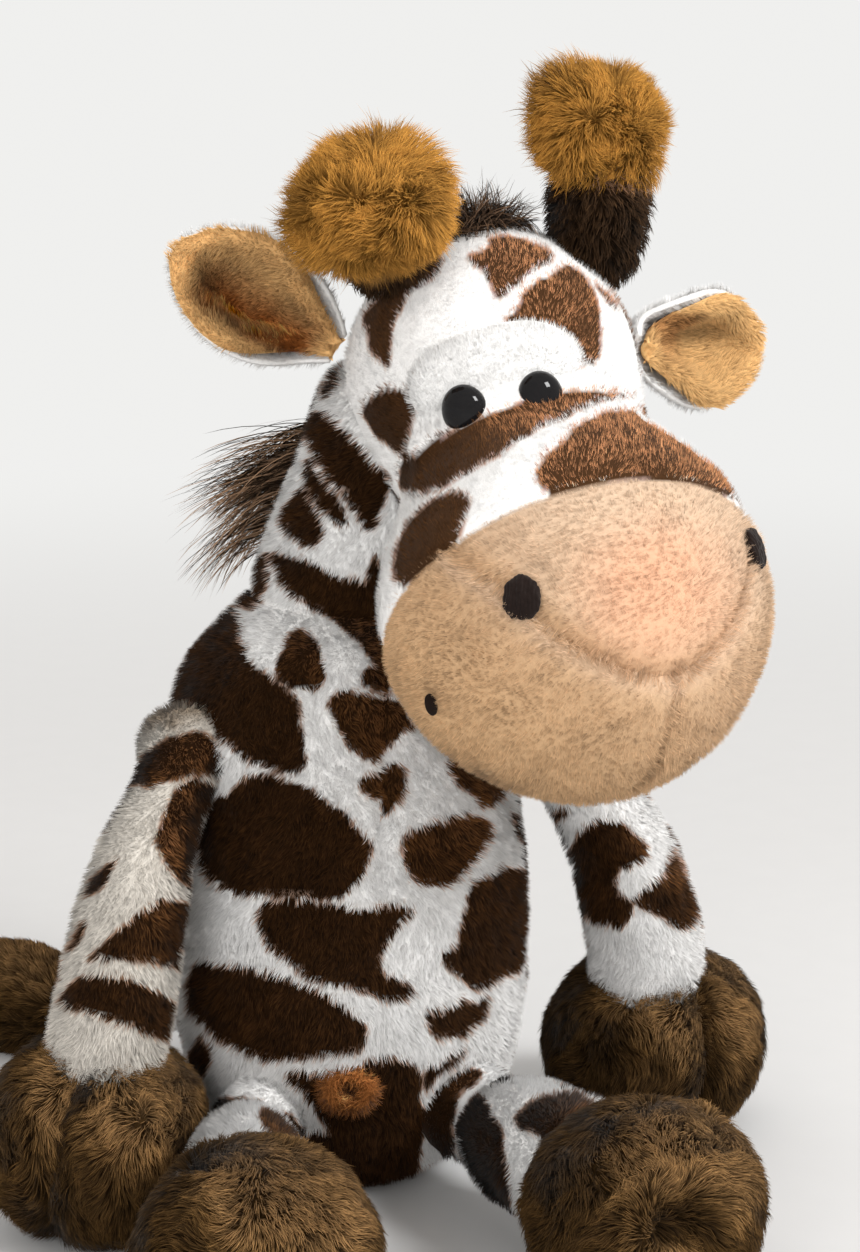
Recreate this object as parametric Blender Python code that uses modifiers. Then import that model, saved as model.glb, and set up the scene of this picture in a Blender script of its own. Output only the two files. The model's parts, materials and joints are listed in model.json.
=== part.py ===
"""Seated plush giraffe: stuffed covers, their fillings and pouches, the face, horns, ears, mane and tail.

Metres, +Z up. The giraffe faces -Y, +X is its own left side. The origin is the middle of the seat on the floor.
Names that end in _r are on the giraffe's own right, -X, and those in _l on its own left, +X.
"""
import math

import bmesh
import bpy
from mathutils import Matrix, Vector

# Cloth, seams and clearances
COVER_WALL = 0.0018          # plush cloth with its backing
SEWN_GAP = 0.0004            # between two pieces that are sewn together
FILL_GAP = 0.0008            # between a cover and its filling
SOCKET_GAP = 0.0004          # round the ball at the root of a limb
NECK_GAP = 0.0009            # between the neck and what turns or bends on it
TURNED_GAP = 0.00045         # between the neck and the head at the ends of its turn
PRESS_DEPTH = 0.0005         # how far a form is pressed flat on the floor
OVERRUN = 0.2                # how far a cutter reaches past what it cuts
SEAM_HALF_GAP = 0.0002       # half the gap between two sewn panels

# Torso: a pear that sits on its seat
TORSO_HEIGHT = 0.196
TORSO_HALF_WIDTH = 0.056
TORSO_HALF_DEPTH = 0.052
COVER_HOLE_RADIUS = 0.012    # hole left in a cover where it is sewn to the next piece
SEAT_POUCH_HEIGHT = 0.0125

# Neck: leans to the giraffe's left and carries the head
NECK_RADIUS = 0.030
NECK_DOME_RADIUS = 0.0365    # the torso ends in a dome that the neck bends over
NECK_OVERLAP = 0.018         # how far the neck's cage starts below the torso's top
NECK_LEAN = 0.024            # sideways, towards +X
NECK_RISE = 0.056
NECK_SET_BACK = 0.003        # the neck's root behind the torso's middle

# Head: a round cranium joined to a larger muzzle
CRANIUM_RADIUS = 0.046
CRANIUM_SIDE = 0.025         # from the neck's top to the cranium's middle
CRANIUM_FORWARD = 0.014
CRANIUM_RISE = 0.025
CRANIUM_YAW = math.radians(3)
CRANIUM_ROLL = math.radians(6)
MUZZLE_RADIUS = 0.0590
MUZZLE_SIDE = 0.0240         # from the cranium's middle to the muzzle's
MUZZLE_FORWARD = 0.051
MUZZLE_DROP = 0.0640
MUZZLE_YAW = math.radians(28)
MUZZLE_ROLL = math.radians(5.5)
WAIST_RADIUS = 0.0375        # the crease between cranium and muzzle
SNOUT_SEAM_PITCH = math.radians(43)
SNOUT_SEAM_TURN = math.radians(-11)
SNOUT_SEAM_SETBACK = 0.004   # the seam's plane behind the muzzle's middle
MOUTH_PITCH = math.radians(10)

# Face
FACE_YAW = math.radians(2)
FACE_ROLL = math.radians(14)
EYE_SEGMENTS = 14
EYE_RADIUS = 0.0065
EYE_HALF_DEPTH = 0.0046
EYE_SHANK_RADIUS = 0.0017
EYE_SHANK_LENGTH = 0.011
EYE_SPREAD = math.radians(13)
EYE_DROP = math.radians(3)
WASHER_RADIUS = 0.0075
WASHER_THICKNESS = 0.0015
BROW_HALF_WIDTH = 0.026
BROW_HALF_HEIGHT = 0.0185
BROW_PROUD = 0.0035
BROW_RISE = math.radians(4)
NOSTRIL_RADIUS = 0.0058
NOSTRIL_PROUD = 0.0011
NOSTRIL_SPREAD = math.radians(45)
NOSTRIL_RISE = math.radians(18)
STITCH_RADIUS = 0.0007
STITCH_HALF_WIDTH = 0.0014
STITCH_DEPTH = 0.0021
STITCH_LENGTH = 0.007
STITCH_SPREAD = math.radians(80)
STITCH_DROP = math.radians(21)

# Horns
HORN_SPREAD_R = math.radians(33)
HORN_SPREAD_L = math.radians(46)
HORN_PITCH_R = math.radians(16)
HORN_PITCH_L = math.radians(0)
HORN_ROOT_RADIUS = 0.0105
HORN_PROUD = 0.0038          # how far a horn's root ball stands out from the head
HORN_RADIUS = 0.0125
HORN_LENGTH = 0.021
POMPOM_RADIUS = 0.0205
HORN_LEAN_R = math.radians(52)    # the right horn leans towards the front
HORN_LEAN_L = math.radians(1)
HORN_SPLAY_R = math.radians(10)
HORN_SPLAY_L = math.radians(9)

# Ears
EAR_LENGTH = 0.058
EAR_HALF_WIDTH = 0.0200
EAR_CUP = 0.009
EAR_SINK_SHARE = 0.5
EAR_CUP_SHARE = 1.3
EAR_LINING_SHARE = 0.93      # the lining's width, of the back's
EAR_LIFT_SHARE = 1.5         # keeps the lining clear of the back where the cup is steep
EAR_WALL = 0.0016
EAR_ROOT_RADIUS = 0.0045
EAR_RISE_R = math.radians(39)
EAR_RISE_L = math.radians(-8)
EAR_SWEEP_R = math.radians(-10)
EAR_SWEEP_L = math.radians(46)
EAR_LATITUDE_R = math.radians(13)
EAR_LATITUDE_L = math.radians(1)
EAR_SETBACK = math.radians(6)

# Hair
MANE_THICKNESS = 0.006
MANE_REACH = 0.030
MANE_DROOP = 0.020
MANE_START = 0.38            # shares of the neck's length
MANE_END = 1.12
MANE_TURN = math.radians(165)
CREST_HEIGHT = 0.012
CREST_HALF_WIDTH = 0.005
FORELOCK_HALF_WIDTH = 0.013
FORELOCK_HEIGHT = 0.008

# Arms
ARM_RADIUS = 0.018
ARM_ROOT_RADIUS = 0.0125
SHOULDER_HEIGHT = 0.142
SHOULDER_TURN_R = math.radians(209)   # from +X, anticlockwise seen from above
SHOULDER_TURN_L = math.radians(4)
ROOT_PROUD = 0.0035          # how far a limb's root ball stands out from the torso
FRONT_HOOF_AT_R = (-0.0815, -0.050)
FRONT_HOOF_AT_L = (0.0975, 0.034)
ARM_BOW_R = (-0.0055, -0.023)         # how far the arm bows from a straight line, x and y
ARM_BOW_L = (0.021, -0.003)
FRONT_HOOF_HALF_WIDTH = 0.0335
FRONT_HOOF_HALF_LENGTH = 0.0360
FRONT_HOOF_HEIGHT = 0.060

# Legs
LEG_RADIUS = 0.0190
LEG_ROOT_RADIUS = 0.0140
HIP_HEIGHT = 0.030
HIP_TURN_R = math.radians(242)
HIP_TURN_L = math.radians(-44)
HIND_HOOF_AT_R = (-0.026, -0.136)
HIND_HOOF_AT_L = (0.084, -0.106)
LEG_BOW_R = (-0.004, 0.0)
LEG_BOW_L = (-0.003, 0.004)
HIND_HOOF_HALF_WIDTH = 0.0345
HIND_HOOF_HALF_LENGTH = 0.0345
HIND_HOOF_HEIGHT = 0.061

# Tail
TAIL_RADIUS = 0.0075
TAIL_ROOT_HEIGHT = 0.028
TAIL_TURN = math.radians(104)
TAIL_TUFT_AT = (-0.128, 0.112)
TAIL_TUFT_HALF_LENGTH = 0.030
TAIL_TUFT_RADIUS = 0.0165
TAIL_BOW = (-0.006, 0.014)

# Navel
NAVEL_RADIUS = 0.0062
NAVEL_THREAD = 0.0026
NAVEL_HEIGHT = 0.043
NAVEL_TURN = math.radians(-88)

# Turns of the head, in degrees, at which the neck is cut clear of it
HEAD_TURN_STEPS = (0, -13, 13)

SIDES_LARGE = 10
SIDES_MEDIUM = 8
SIDES_SMALL = 6
CUTTER_SEGMENTS = 12         # round cutters, rods and small balls
BROW_SEGMENTS = 16
STITCH_SEGMENTS = 10
NAVEL_SEGMENTS = (16, 8)
PATH_STEPS = 12
POLE_LOSS = 0.25             # share of the way to the first ring by which smoothing draws a pole in
PARTS_NAME = "plush_giraffe"

UP = Vector((0.0, 0.0, 1.0))
SIDEWAYS = Vector((1.0, 0.0, 0.0))
FORWARD = Vector((0.0, -1.0, 0.0))

# Rows of shares: height along the torso, then the middle's x and y and the half width and depth
TORSO_SHARES = (
    (0.000, -0.10, 0.22, 0.00, 0.00),
    (0.000, -0.10, 0.22, 0.54, 0.52),
    (0.060, -0.10, 0.14, 0.82, 0.76),
    (0.200, -0.09, 0.02, 0.98, 0.95),
    (0.430, -0.06, -0.02, 1.03, 1.03),
    (0.620, -0.07, 0.02, 0.98, 0.95),
    (0.770, -0.12, 0.09, 0.87, 0.85),
    (0.870, -0.18, 0.14, 0.73, 0.73),
)
DOME_ANGLES = (60, 36, 12, 0)         # degrees from the top, down to where the dome meets the shoulders
DOME_MIDDLE_SHARES = (-0.15, 0.18)    # the dome's middle, of the torso's half width and depth
# Rows of shares for the neck and a limb: along it, and its girth
NECK_SHARES = ((-0.12, 0.0), (-0.12, 0.98), (0.25, 1.02), (0.6, 1.03), (1.0, 1.10), (1.3, 1.10), (1.3, 0.0))
LIMB_SHARES = ((0.25, 0.69), (0.56, 1.0), (1.00, 1.06))
ROOT_SHARES = ((-1.05, 0.0), (-0.80, 0.76), (0.0, 1.05), (0.80, 0.54))    # the ball at a limb's root
BOW_SHARE = 0.5              # power that moves a limb's widest bow towards its root
BALL_SHARES = ((-1.05, 0.0), (-0.80, 0.78), (0.0, 1.11), (0.80, 0.78), (1.05, 0.0))
HEAD_SHARES = ((-1.0, 0.0), (-0.88, 0.47), (-0.48, 0.87), (0.0, 1.0), (0.48, 0.87), (0.88, 0.47), (1.0, 0.0))
HOOF_SHARES = ((-1.0, 0.0), (-0.86, 0.74), (0.0, 1.16), (0.86, 0.78), (1.0, 0.0))
EAR_SHARES = ((0.04, 0.22), (0.24, 0.70), (0.60, 1.04), (0.92, 0.62), (1.02, 0.16))
TAIL_SHARES = ((0.4, 1.0), (0.8, 1.0), (0.95, 0.0))
HORN_SHARES = ((0.78, 0.98), (1.0, 0.95), (1.15, 0.0))
EAR_COLUMNS = (-1, -0.4, 0.4, 1)
WAIST_SHARES = (0.64, 0.89)           # above the crease: of the way to it, and of the cranium's radius
MUZZLE_BACK_SHARES = (-0.70, -0.42)   # rows of the muzzle below the crease, of its radius
HOOF_ENTRY_SHARE = 0.5                # the point of a limb's path that its hoof's hole faces
POMPOM_SINK_SHARE = 0.55              # the pompom's middle past its stalk's end, of its radius
MANE_FLATNESS = 0.6
CREST_ANGLES = (112, 122, 140, 158, 170)    # degrees from the front, over the top of the head
STEEP = math.cos(math.radians(45))    # past this a limb's cross rows are set by the sideways direction
MANE_SHARES = ((0.0, 0.25), (0.2, 0.8), (0.45, 1.0), (0.7, 0.9), (0.9, 0.6), (1.0, 0.2))

COLOURS = {
    "coat": ((0.86, 0.85, 0.83, 1), 0.9),
    "brown": ((0.13, 0.065, 0.03, 1), 0.9),
    "tan": ((0.74, 0.52, 0.34, 1), 0.9),
    "golden": ((0.55, 0.29, 0.08, 1), 0.9),
    "lining": ((0.70, 0.42, 0.17, 1), 0.9),
    "eye": ((0.006, 0.006, 0.007, 1), 0.06),
    "thread": ((0.05, 0.025, 0.015, 1), 0.7),
    "navel": ((0.30, 0.11, 0.03, 1), 0.8),
    "stuffing": ((0.82, 0.82, 0.80, 1), 1.0),
    "pouch": ((0.70, 0.70, 0.72, 1), 0.8),
    "washer": ((0.75, 0.75, 0.76, 1), 0.4),
}


def clear_scene():
    for obj in list(bpy.data.objects):
        bpy.data.objects.remove(obj, do_unlink=True)


def make_collection(name):
    group = bpy.data.collections.new(name)
    bpy.context.scene.collection.children.link(group)
    return group


def make_material(name):
    colour, roughness = COLOURS[name]
    material = bpy.data.materials.new(name)
    material.use_nodes = True
    shader = material.node_tree.nodes["Principled BSDF"]
    shader.inputs["Base Color"].default_value = colour
    shader.inputs["Roughness"].default_value = roughness
    shader.inputs["Metallic"].default_value = 0.0
    material.diffuse_color = colour
    return material


clear_scene()
PARTS = make_collection(PARTS_NAME)
CUTTERS = make_collection("cutters")
MATERIALS = {name: make_material(name) for name in COLOURS}


# Stuffed forms: rings along a spine, kept as stations so that a form can be grown or shrunk evenly

def station(centre, half_width, half_depth):
    return {"at": Vector(centre), "wide": half_width, "deep": half_depth}


def tangent(stations, index):
    before = stations[max(index - 1, 0)]["at"]
    after = stations[min(index + 1, len(stations) - 1)]["at"]
    step = after - before
    if step.length == 0:
        step = stations[-1]["at"] - stations[0]["at"]
    return step.normalized()


def grown(stations, amount):
    """The same form with its whole surface moved out by amount, or in where amount is negative."""
    result = []
    last = len(stations) - 1
    for index, row in enumerate(stations):
        along = tangent(stations, index)
        before = stations[max(index - 1, 0)]
        after = stations[min(index + 1, last)]
        run = (after["at"] - before["at"]).dot(along)
        rise = (after["wide"] + after["deep"] - before["wide"] - before["deep"]) / 2
        if row["wide"] == 0:
            shift = -along * amount if index == 0 else along * amount
            result.append(station(row["at"] + shift, 0, 0))
            continue
        size = math.hypot(run, rise)
        out = amount * run / size
        shift = -along * (amount * rise / size)
        result.append(station(row["at"] + shift, row["wide"] + out, row["deep"] + out))
    return result


def smoothing_loss(step):
    """By how much a circle's cage, with points one step apart, has to exceed the smooth circle."""
    return 3 / (2 + math.cos(step))


def smoothed(stations):
    """The rings as the smooth surface passes through them, for a form that isn't subdivided."""
    result = []
    last = len(stations) - 1
    for index, row in enumerate(stations):
        before = stations[max(index - 1, 0)]
        after = stations[min(index + 1, last)]
        if index == 0:
            result.append(station(row["at"].lerp(after["at"], POLE_LOSS), 0, 0))
        elif index == last:
            result.append(station(row["at"].lerp(before["at"], POLE_LOSS), 0, 0))
        else:
            centre = (before["at"] + 4 * row["at"] + after["at"]) / 6
            wide = (before["wide"] + 4 * row["wide"] + after["wide"]) / 6
            deep = (before["deep"] + 4 * row["deep"] + after["deep"]) / 6
            result.append(station(centre, wide, deep))
    return result


def form_mesh(name, stations, lateral, sides, plump=1.0):
    """Skins the stations with quads and closes both ends with a fan to a pole."""
    mesh = bpy.data.meshes.new(name)
    work = bmesh.new()
    rings = []
    for index, row in enumerate(stations):
        if row["wide"] == 0:
            rings.append([work.verts.new(row["at"])])
            continue
        along = tangent(stations, index)
        deep = along.cross(lateral).normalized()
        wide = deep.cross(along).normalized()
        ring = []
        for side in range(sides):
            angle = 2 * math.pi * side / sides
            offset = wide * math.cos(angle) * row["wide"] + deep * math.sin(angle) * row["deep"]
            ring.append(work.verts.new(row["at"] + offset * plump))
        rings.append(ring)
    for lower, upper in zip(rings, rings[1:]):
        for side in range(sides):
            nxt = (side + 1) % sides
            if len(lower) == 1:
                work.faces.new((lower[0], upper[side], upper[nxt]))
            elif len(upper) == 1:
                work.faces.new((lower[side], upper[0], lower[nxt]))
            else:
                work.faces.new((lower[side], upper[side], upper[nxt], lower[nxt]))
    bmesh.ops.recalc_face_normals(work, faces=work.faces)
    work.to_mesh(mesh)
    work.free()
    mesh.shade_smooth()
    return mesh


def smooth_form_mesh(name, stations, lateral, sides):
    return form_mesh(name, stations, lateral, sides, smoothing_loss(2 * math.pi / sides))


def inner_mesh(name, stations, lateral, depth, sides):
    """The plain inner surface of a stuffed form, depth below its smooth outer surface."""
    return form_mesh(name, grown(smoothed(stations), -depth), lateral, sides)


def place(mesh, name, material, pivot=None, group=PARTS):
    """Links a mesh made in world places, with its origin moved to the pivot."""
    obj = bpy.data.objects.new(name, mesh)
    group.objects.link(obj)
    if pivot is not None:
        mesh.transform(Matrix.Translation(-Vector(pivot)))
        obj.location = pivot
    if material:
        mesh.materials.append(MATERIALS[material])
    return obj


def subdivide(obj, levels=1):
    modifier = obj.modifiers.new("smooth", "SUBSURF")
    modifier.levels = levels
    modifier.render_levels = levels


def shell(obj, wall):
    modifier = obj.modifiers.new("cloth", "SOLIDIFY")
    modifier.thickness = wall
    modifier.offset = -1
    modifier.use_even_offset = True


def cut(obj, cutter, operation="DIFFERENCE"):
    modifier = obj.modifiers.new("cut", "BOOLEAN")
    modifier.operation = operation
    modifier.solver = "EXACT"
    modifier.object = cutter


def as_cutter(obj):
    obj.hide_render = True
    obj.display_type = "WIRE"
    return obj


def form(name, stations, lateral, material, sides=SIDES_SMALL, pivot=None):
    obj = place(smooth_form_mesh(name, stations, lateral, sides), name, material, pivot)
    subdivide(obj)
    return obj


def hollow_out(obj, stations, lateral, sides, below=None):
    """Cuts the room for the filling out of a cover. The room ends at the cutter below."""
    name = obj.name + "_room"
    mesh = inner_mesh(name, stations, lateral, COVER_WALL, inner_sides(sides))
    room = as_cutter(place(mesh, name, None, None, CUTTERS))
    if below:
        cut(room, below)
    cut(obj, room)


def cover_form(name, stations, lateral, material, sides=SIDES_SMALL, pivot=None):
    """A form of cloth: the smooth outside, hollow inside."""
    obj = form(name, stations, lateral, material, sides, pivot)
    hollow_out(obj, stations, lateral, sides)
    return obj


def filling_form(name, stations, lateral, material, sides=SIDES_SMALL, pivot=None):
    mesh = inner_mesh(name, stations, lateral, COVER_WALL + FILL_GAP, inner_sides(sides))
    return place(mesh, name, material, pivot)


def inner_sides(sides):
    return max(sides, SIDES_MEDIUM)


def form_cutter(name, stations, lateral, sides=SIDES_SMALL):
    obj = place(smooth_form_mesh(name, stations, lateral, sides), name, None, None, CUTTERS)
    subdivide(obj)
    return as_cutter(obj)


def ball_cutter(name, centre, radius, segments=CUTTER_SEGMENTS):
    """A ball whose flats clear the radius."""
    mesh = bpy.data.meshes.new(name)
    work = bmesh.new()
    clear = radius / math.cos(math.pi / segments) ** 2
    bmesh.ops.create_uvsphere(work, u_segments=segments, v_segments=segments // 2, radius=clear)
    bmesh.ops.translate(work, verts=work.verts, vec=Vector(centre))
    work.to_mesh(mesh)
    work.free()
    return as_cutter(place(mesh, name, None, None, CUTTERS))


def rod_mesh(name, start, end, radius, segments=CUTTER_SEGMENTS):
    mesh = bpy.data.meshes.new(name)
    work = bmesh.new()
    axis = Vector(end) - Vector(start)
    turn = axis.to_track_quat("Z", "Y").to_matrix().to_4x4()
    place_at = Matrix.Translation((Vector(start) + Vector(end)) / 2) @ turn
    bmesh.ops.create_cone(work, cap_ends=True, segments=segments, radius1=radius, radius2=radius,
                          depth=axis.length, matrix=place_at)
    work.to_mesh(mesh)
    work.free()
    return mesh


def rod_cutter(name, start, end, radius):
    return as_cutter(place(rod_mesh(name, start, end, radius), name, None, None, CUTTERS))


def half_space(name, point, outward):
    """A big block whose one face lies at the point and which fills the side that outward points to."""
    mesh = bpy.data.meshes.new(name)
    work = bmesh.new()
    outward = Vector(outward).normalized()
    turn = outward.to_track_quat("Z", "Y").to_matrix().to_4x4()
    middle = Vector(point) + outward * OVERRUN
    bmesh.ops.create_cube(work, size=2 * OVERRUN, matrix=Matrix.Translation(middle) @ turn)
    work.to_mesh(mesh)
    work.free()
    return as_cutter(place(mesh, name, None, None, CUTTERS))


FLOOR = half_space("floor_cutter", (0, 0, 0), -UP)


def polar(azimuth, elevation=0.0):
    """A direction: azimuth from +X anticlockwise seen from above, elevation up from level."""
    flat = math.cos(elevation)
    return Vector((math.cos(azimuth) * flat, math.sin(azimuth) * flat, math.sin(elevation)))


def facing_frame(yaw, roll):
    """Forward, lateral (the giraffe's left) and up for a head part that is turned and tilted."""
    forward = Vector((math.sin(yaw), -math.cos(yaw), 0))
    level = Vector((math.cos(yaw), math.sin(yaw), 0))
    lateral = level * math.cos(roll) + UP * math.sin(roll)
    up = UP * math.cos(roll) - level * math.sin(roll)
    return forward, lateral, up


def towards(frame, spread, rise):
    """A direction on a head part: spread to its left, rise above level."""
    forward, lateral, up = frame
    level = forward * math.cos(spread) + lateral * math.sin(spread)
    return level * math.cos(rise) + up * math.sin(rise)


# Torso

def torso_rows():
    rows = []
    for height, x_share, y_share, wide, deep in TORSO_SHARES:
        level = height * TORSO_HEIGHT - PRESS_DEPTH * (1 - height)
        centre = (x_share * TORSO_HALF_WIDTH, y_share * TORSO_HALF_DEPTH, level)
        rows.append(station(centre, wide * TORSO_HALF_WIDTH, deep * TORSO_HALF_DEPTH))
    cage_radius = NECK_DOME_RADIUS * smoothing_loss(math.radians(DOME_ANGLES[0] - DOME_ANGLES[1]))
    for degrees in DOME_ANGLES:
        angle = math.radians(degrees)
        half = NECK_DOME_RADIUS * math.sin(angle)
        rows.append(station(NECK_PIVOT + UP * (cage_radius * math.cos(angle)), half, half))
    return rows


NECK_PIVOT = Vector((DOME_MIDDLE_SHARES[0] * TORSO_HALF_WIDTH, DOME_MIDDLE_SHARES[1] * TORSO_HALF_DEPTH,
                     TORSO_HEIGHT - NECK_DOME_RADIUS))
TORSO = torso_rows()
TORSO_TOP = NECK_PIVOT + UP * NECK_DOME_RADIUS


def torso_at(height):
    """The torso's middle and half sizes at a height."""
    for low, high in zip(TORSO[1:], TORSO[2:]):
        if low["at"].z <= height <= high["at"].z and high["at"].z > low["at"].z:
            share = (height - low["at"].z) / (high["at"].z - low["at"].z)
            centre = low["at"].lerp(high["at"], share)
            wide = low["wide"] + (high["wide"] - low["wide"]) * share
            deep = low["deep"] + (high["deep"] - low["deep"]) * share
            return centre, wide, deep
    return TORSO[1]["at"], TORSO[1]["wide"], TORSO[1]["deep"]


def torso_surface(height, turn, proud=0.0):
    centre, wide, deep = torso_at(height)
    return centre + Vector(((wide + proud) * math.cos(turn), (deep + proud) * math.sin(turn), 0))


# Where the neck, head and limbs stand

NECK_ROOT = Vector((TORSO_TOP.x, TORSO_TOP.y + NECK_SET_BACK, TORSO_TOP.z - NECK_OVERLAP))
NECK_TOP = NECK_ROOT + Vector((NECK_LEAN, 0, NECK_RISE))
NECK_AXIS = (NECK_TOP - NECK_ROOT).normalized()
CRANIUM = NECK_TOP + Vector((CRANIUM_SIDE, -CRANIUM_FORWARD, CRANIUM_RISE))
MUZZLE = CRANIUM + Vector((MUZZLE_SIDE, -MUZZLE_FORWARD, -MUZZLE_DROP))
HEAD_PIVOT = CRANIUM
CRANIUM_FRAME = facing_frame(CRANIUM_YAW, CRANIUM_ROLL)
FACE_FRAME = facing_frame(FACE_YAW, FACE_ROLL)
MUZZLE_FRAME = facing_frame(MUZZLE_YAW, MUZZLE_ROLL)


def head_rows():
    """Cranium, waist and muzzle as one form along the line from the cranium to the muzzle."""
    axis = (MUZZLE - CRANIUM).normalized()
    span = (MUZZLE - CRANIUM).length
    rows = []
    for share, girth in HEAD_SHARES[:4]:
        rows.append((share * CRANIUM_RADIUS, girth * CRANIUM_RADIUS))
    waist_at = (span * span + CRANIUM_RADIUS ** 2 - MUZZLE_RADIUS ** 2) / (2 * span)
    rows.append((waist_at * WAIST_SHARES[0], CRANIUM_RADIUS * WAIST_SHARES[1]))
    rows.append((waist_at, WAIST_RADIUS))
    for share in MUZZLE_BACK_SHARES:
        rows.append((span + share * MUZZLE_RADIUS, MUZZLE_RADIUS * math.sqrt(1 - share * share)))
    for share, girth in HEAD_SHARES[3:]:
        rows.append((span + share * MUZZLE_RADIUS, girth * MUZZLE_RADIUS))
    return [station(CRANIUM + axis * along, girth, girth) for along, girth in rows]


HEAD = head_rows()


def neck_rows():
    rows = []
    for share, girth in NECK_SHARES:
        rows.append(station(NECK_ROOT.lerp(NECK_TOP, share), girth * NECK_RADIUS, girth * NECK_RADIUS))
    return rows


NECK = neck_rows()


def head_cutter(name, gap=SEWN_GAP):
    return form_cutter(name, grown(HEAD, gap), MUZZLE_FRAME[1], SIDES_LARGE)


def torso_cutter(name, gap=SEWN_GAP):
    return form_cutter(name, grown(TORSO, gap), SIDEWAYS, SIDES_LARGE)


def turned_heads():
    """The head at each turn, as cutters, for the room that it sweeps above the neck."""
    cutters = []
    for number, degrees in enumerate(HEAD_TURN_STEPS):
        cutter = head_cutter("head_turned_%d" % number, TURNED_GAP if degrees else NECK_GAP)
        turn = Matrix.Rotation(math.radians(degrees), 4, NECK_AXIS)
        cutter.data.transform(Matrix.Translation(HEAD_PIVOT) @ turn @ Matrix.Translation(-HEAD_PIVOT))
        cutters.append(cutter)
    return cutters


TURNED_HEADS = turned_heads()
NECK_SHOULDERS = torso_cutter("neck_shoulders", NECK_GAP)


# Limbs: a ball at the root, a sleeve that swells, and a hoof that it ends in

def bowed_path(start, end, bow):
    points = []
    for number in range(PATH_STEPS + 1):
        share = number / PATH_STEPS
        lift = math.sin(math.pi * share ** BOW_SHARE)
        points.append(start.lerp(end, share) + Vector((bow[0], bow[1], 0)) * lift)
    return points


def path_point(points, share):
    place_at = min(max(share, 0.0), 1.0) * (len(points) - 1)
    low = min(int(place_at), len(points) - 2)
    return points[low].lerp(points[low + 1], place_at - low)


def limb_rows(path, root_radius, radius):
    first = (path[1] - path[0]).normalized()
    rows = []
    for share, girth in ROOT_SHARES:
        rows.append(station(path[0] + first * (share * root_radius), girth * root_radius, girth * root_radius))
    for share, girth in LIMB_SHARES:
        girth_here = girth * radius
        rows.append(station(path_point(path, share), girth_here, girth_here))
    last = path[-1] - path[-2]
    rows.append(station(path[-1] + last.normalized() * root_radius / 2, 0, 0))
    return rows


def hoof_rows(centre, half_width, half_length, half_height, heading):
    """A rounded hoof whose spine is level and points where the toe points."""
    rows = []
    for share, girth in HOOF_SHARES:
        rows.append(station(centre + heading * (share * half_length), girth * half_width, girth * half_height))
    return rows


def limb(side, root, hoof_at, bow, root_radius, radius, hoof_size, heading, cover_names):
    """Makes sleeve, filling, hoof and pouch. Returns the ball's centre and radius for the socket."""
    sleeve_name, filling_name, hoof_name, pouch_name = ["%s_%s" % (name, side) for name in cover_names]
    half_width, half_length, height = hoof_size
    half_height = (height + PRESS_DEPTH) / 2
    centre = Vector((hoof_at[0], hoof_at[1], half_height - PRESS_DEPTH))
    hoof = hoof_rows(centre, half_width, half_length, half_height, heading)
    lateral = heading.cross(UP).normalized()
    path = bowed_path(root, centre, bow)
    limb_form = limb_rows(path, root_radius, radius)
    limb_lateral = UP.cross((centre - root).normalized()).normalized()
    if abs((centre - root).normalized().z) > STEEP:
        limb_lateral = SIDEWAYS

    hoof_cover = cover_form(hoof_name, hoof, lateral, "brown", SIDES_MEDIUM, root)
    filling_form(pouch_name, hoof, lateral, "pouch", SIDES_MEDIUM, root)
    cut(hoof_cover, FLOOR)
    entry = centre + (path_point(path, HOOF_ENTRY_SHARE) - centre).normalized() * half_height
    cut(hoof_cover, ball_cutter(hoof_name + "_hole", entry, COVER_HOLE_RADIUS))

    hoof_cut = form_cutter(hoof_name + "_cutter", grown(hoof, SEWN_GAP), lateral, SIDES_MEDIUM)
    sleeve = cover_form(sleeve_name, limb_form, limb_lateral, "coat", SIDES_SMALL, root)
    filling = filling_form(filling_name, limb_form, limb_lateral, "stuffing", SIDES_SMALL, root)
    for piece in (sleeve, filling):
        cut(piece, hoof_cut)
    return {"centre": root, "radius": root_radius}


ARM_NAMES = ("arm_sleeve", "arm_filling", "front_hoof", "front_pellet_pouch")
LEG_NAMES = ("leg_sleeve", "leg_filling", "hind_hoof", "hind_pellet_pouch")
FRONT_HOOF = (FRONT_HOOF_HALF_WIDTH, FRONT_HOOF_HALF_LENGTH, FRONT_HOOF_HEIGHT)
HIND_HOOF = (HIND_HOOF_HALF_WIDTH, HIND_HOOF_HALF_LENGTH, HIND_HOOF_HEIGHT)


def level_heading(start, end):
    step = Vector((end[0] - start[0], end[1] - start[1], 0))
    return step.normalized()


def make_limbs():
    sockets = []
    for side, turn, at, bow in (("r", SHOULDER_TURN_R, FRONT_HOOF_AT_R, ARM_BOW_R),
                                ("l", SHOULDER_TURN_L, FRONT_HOOF_AT_L, ARM_BOW_L)):
        root = torso_surface(SHOULDER_HEIGHT, turn, ROOT_PROUD)
        heading = level_heading((0, 0), at) if side == "l" else FORWARD
        sockets.append(limb(side, root, at, bow, ARM_ROOT_RADIUS, ARM_RADIUS, FRONT_HOOF, heading, ARM_NAMES))
    for side, turn, at, bow in (("r", HIP_TURN_R, HIND_HOOF_AT_R, LEG_BOW_R),
                                ("l", HIP_TURN_L, HIND_HOOF_AT_L, LEG_BOW_L)):
        root = torso_surface(HIP_HEIGHT, turn, ROOT_PROUD)
        heading = level_heading(root, at)
        sockets.append(limb(side, root, at, bow, LEG_ROOT_RADIUS, LEG_RADIUS, HIND_HOOF, heading, LEG_NAMES))
    return sockets


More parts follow.
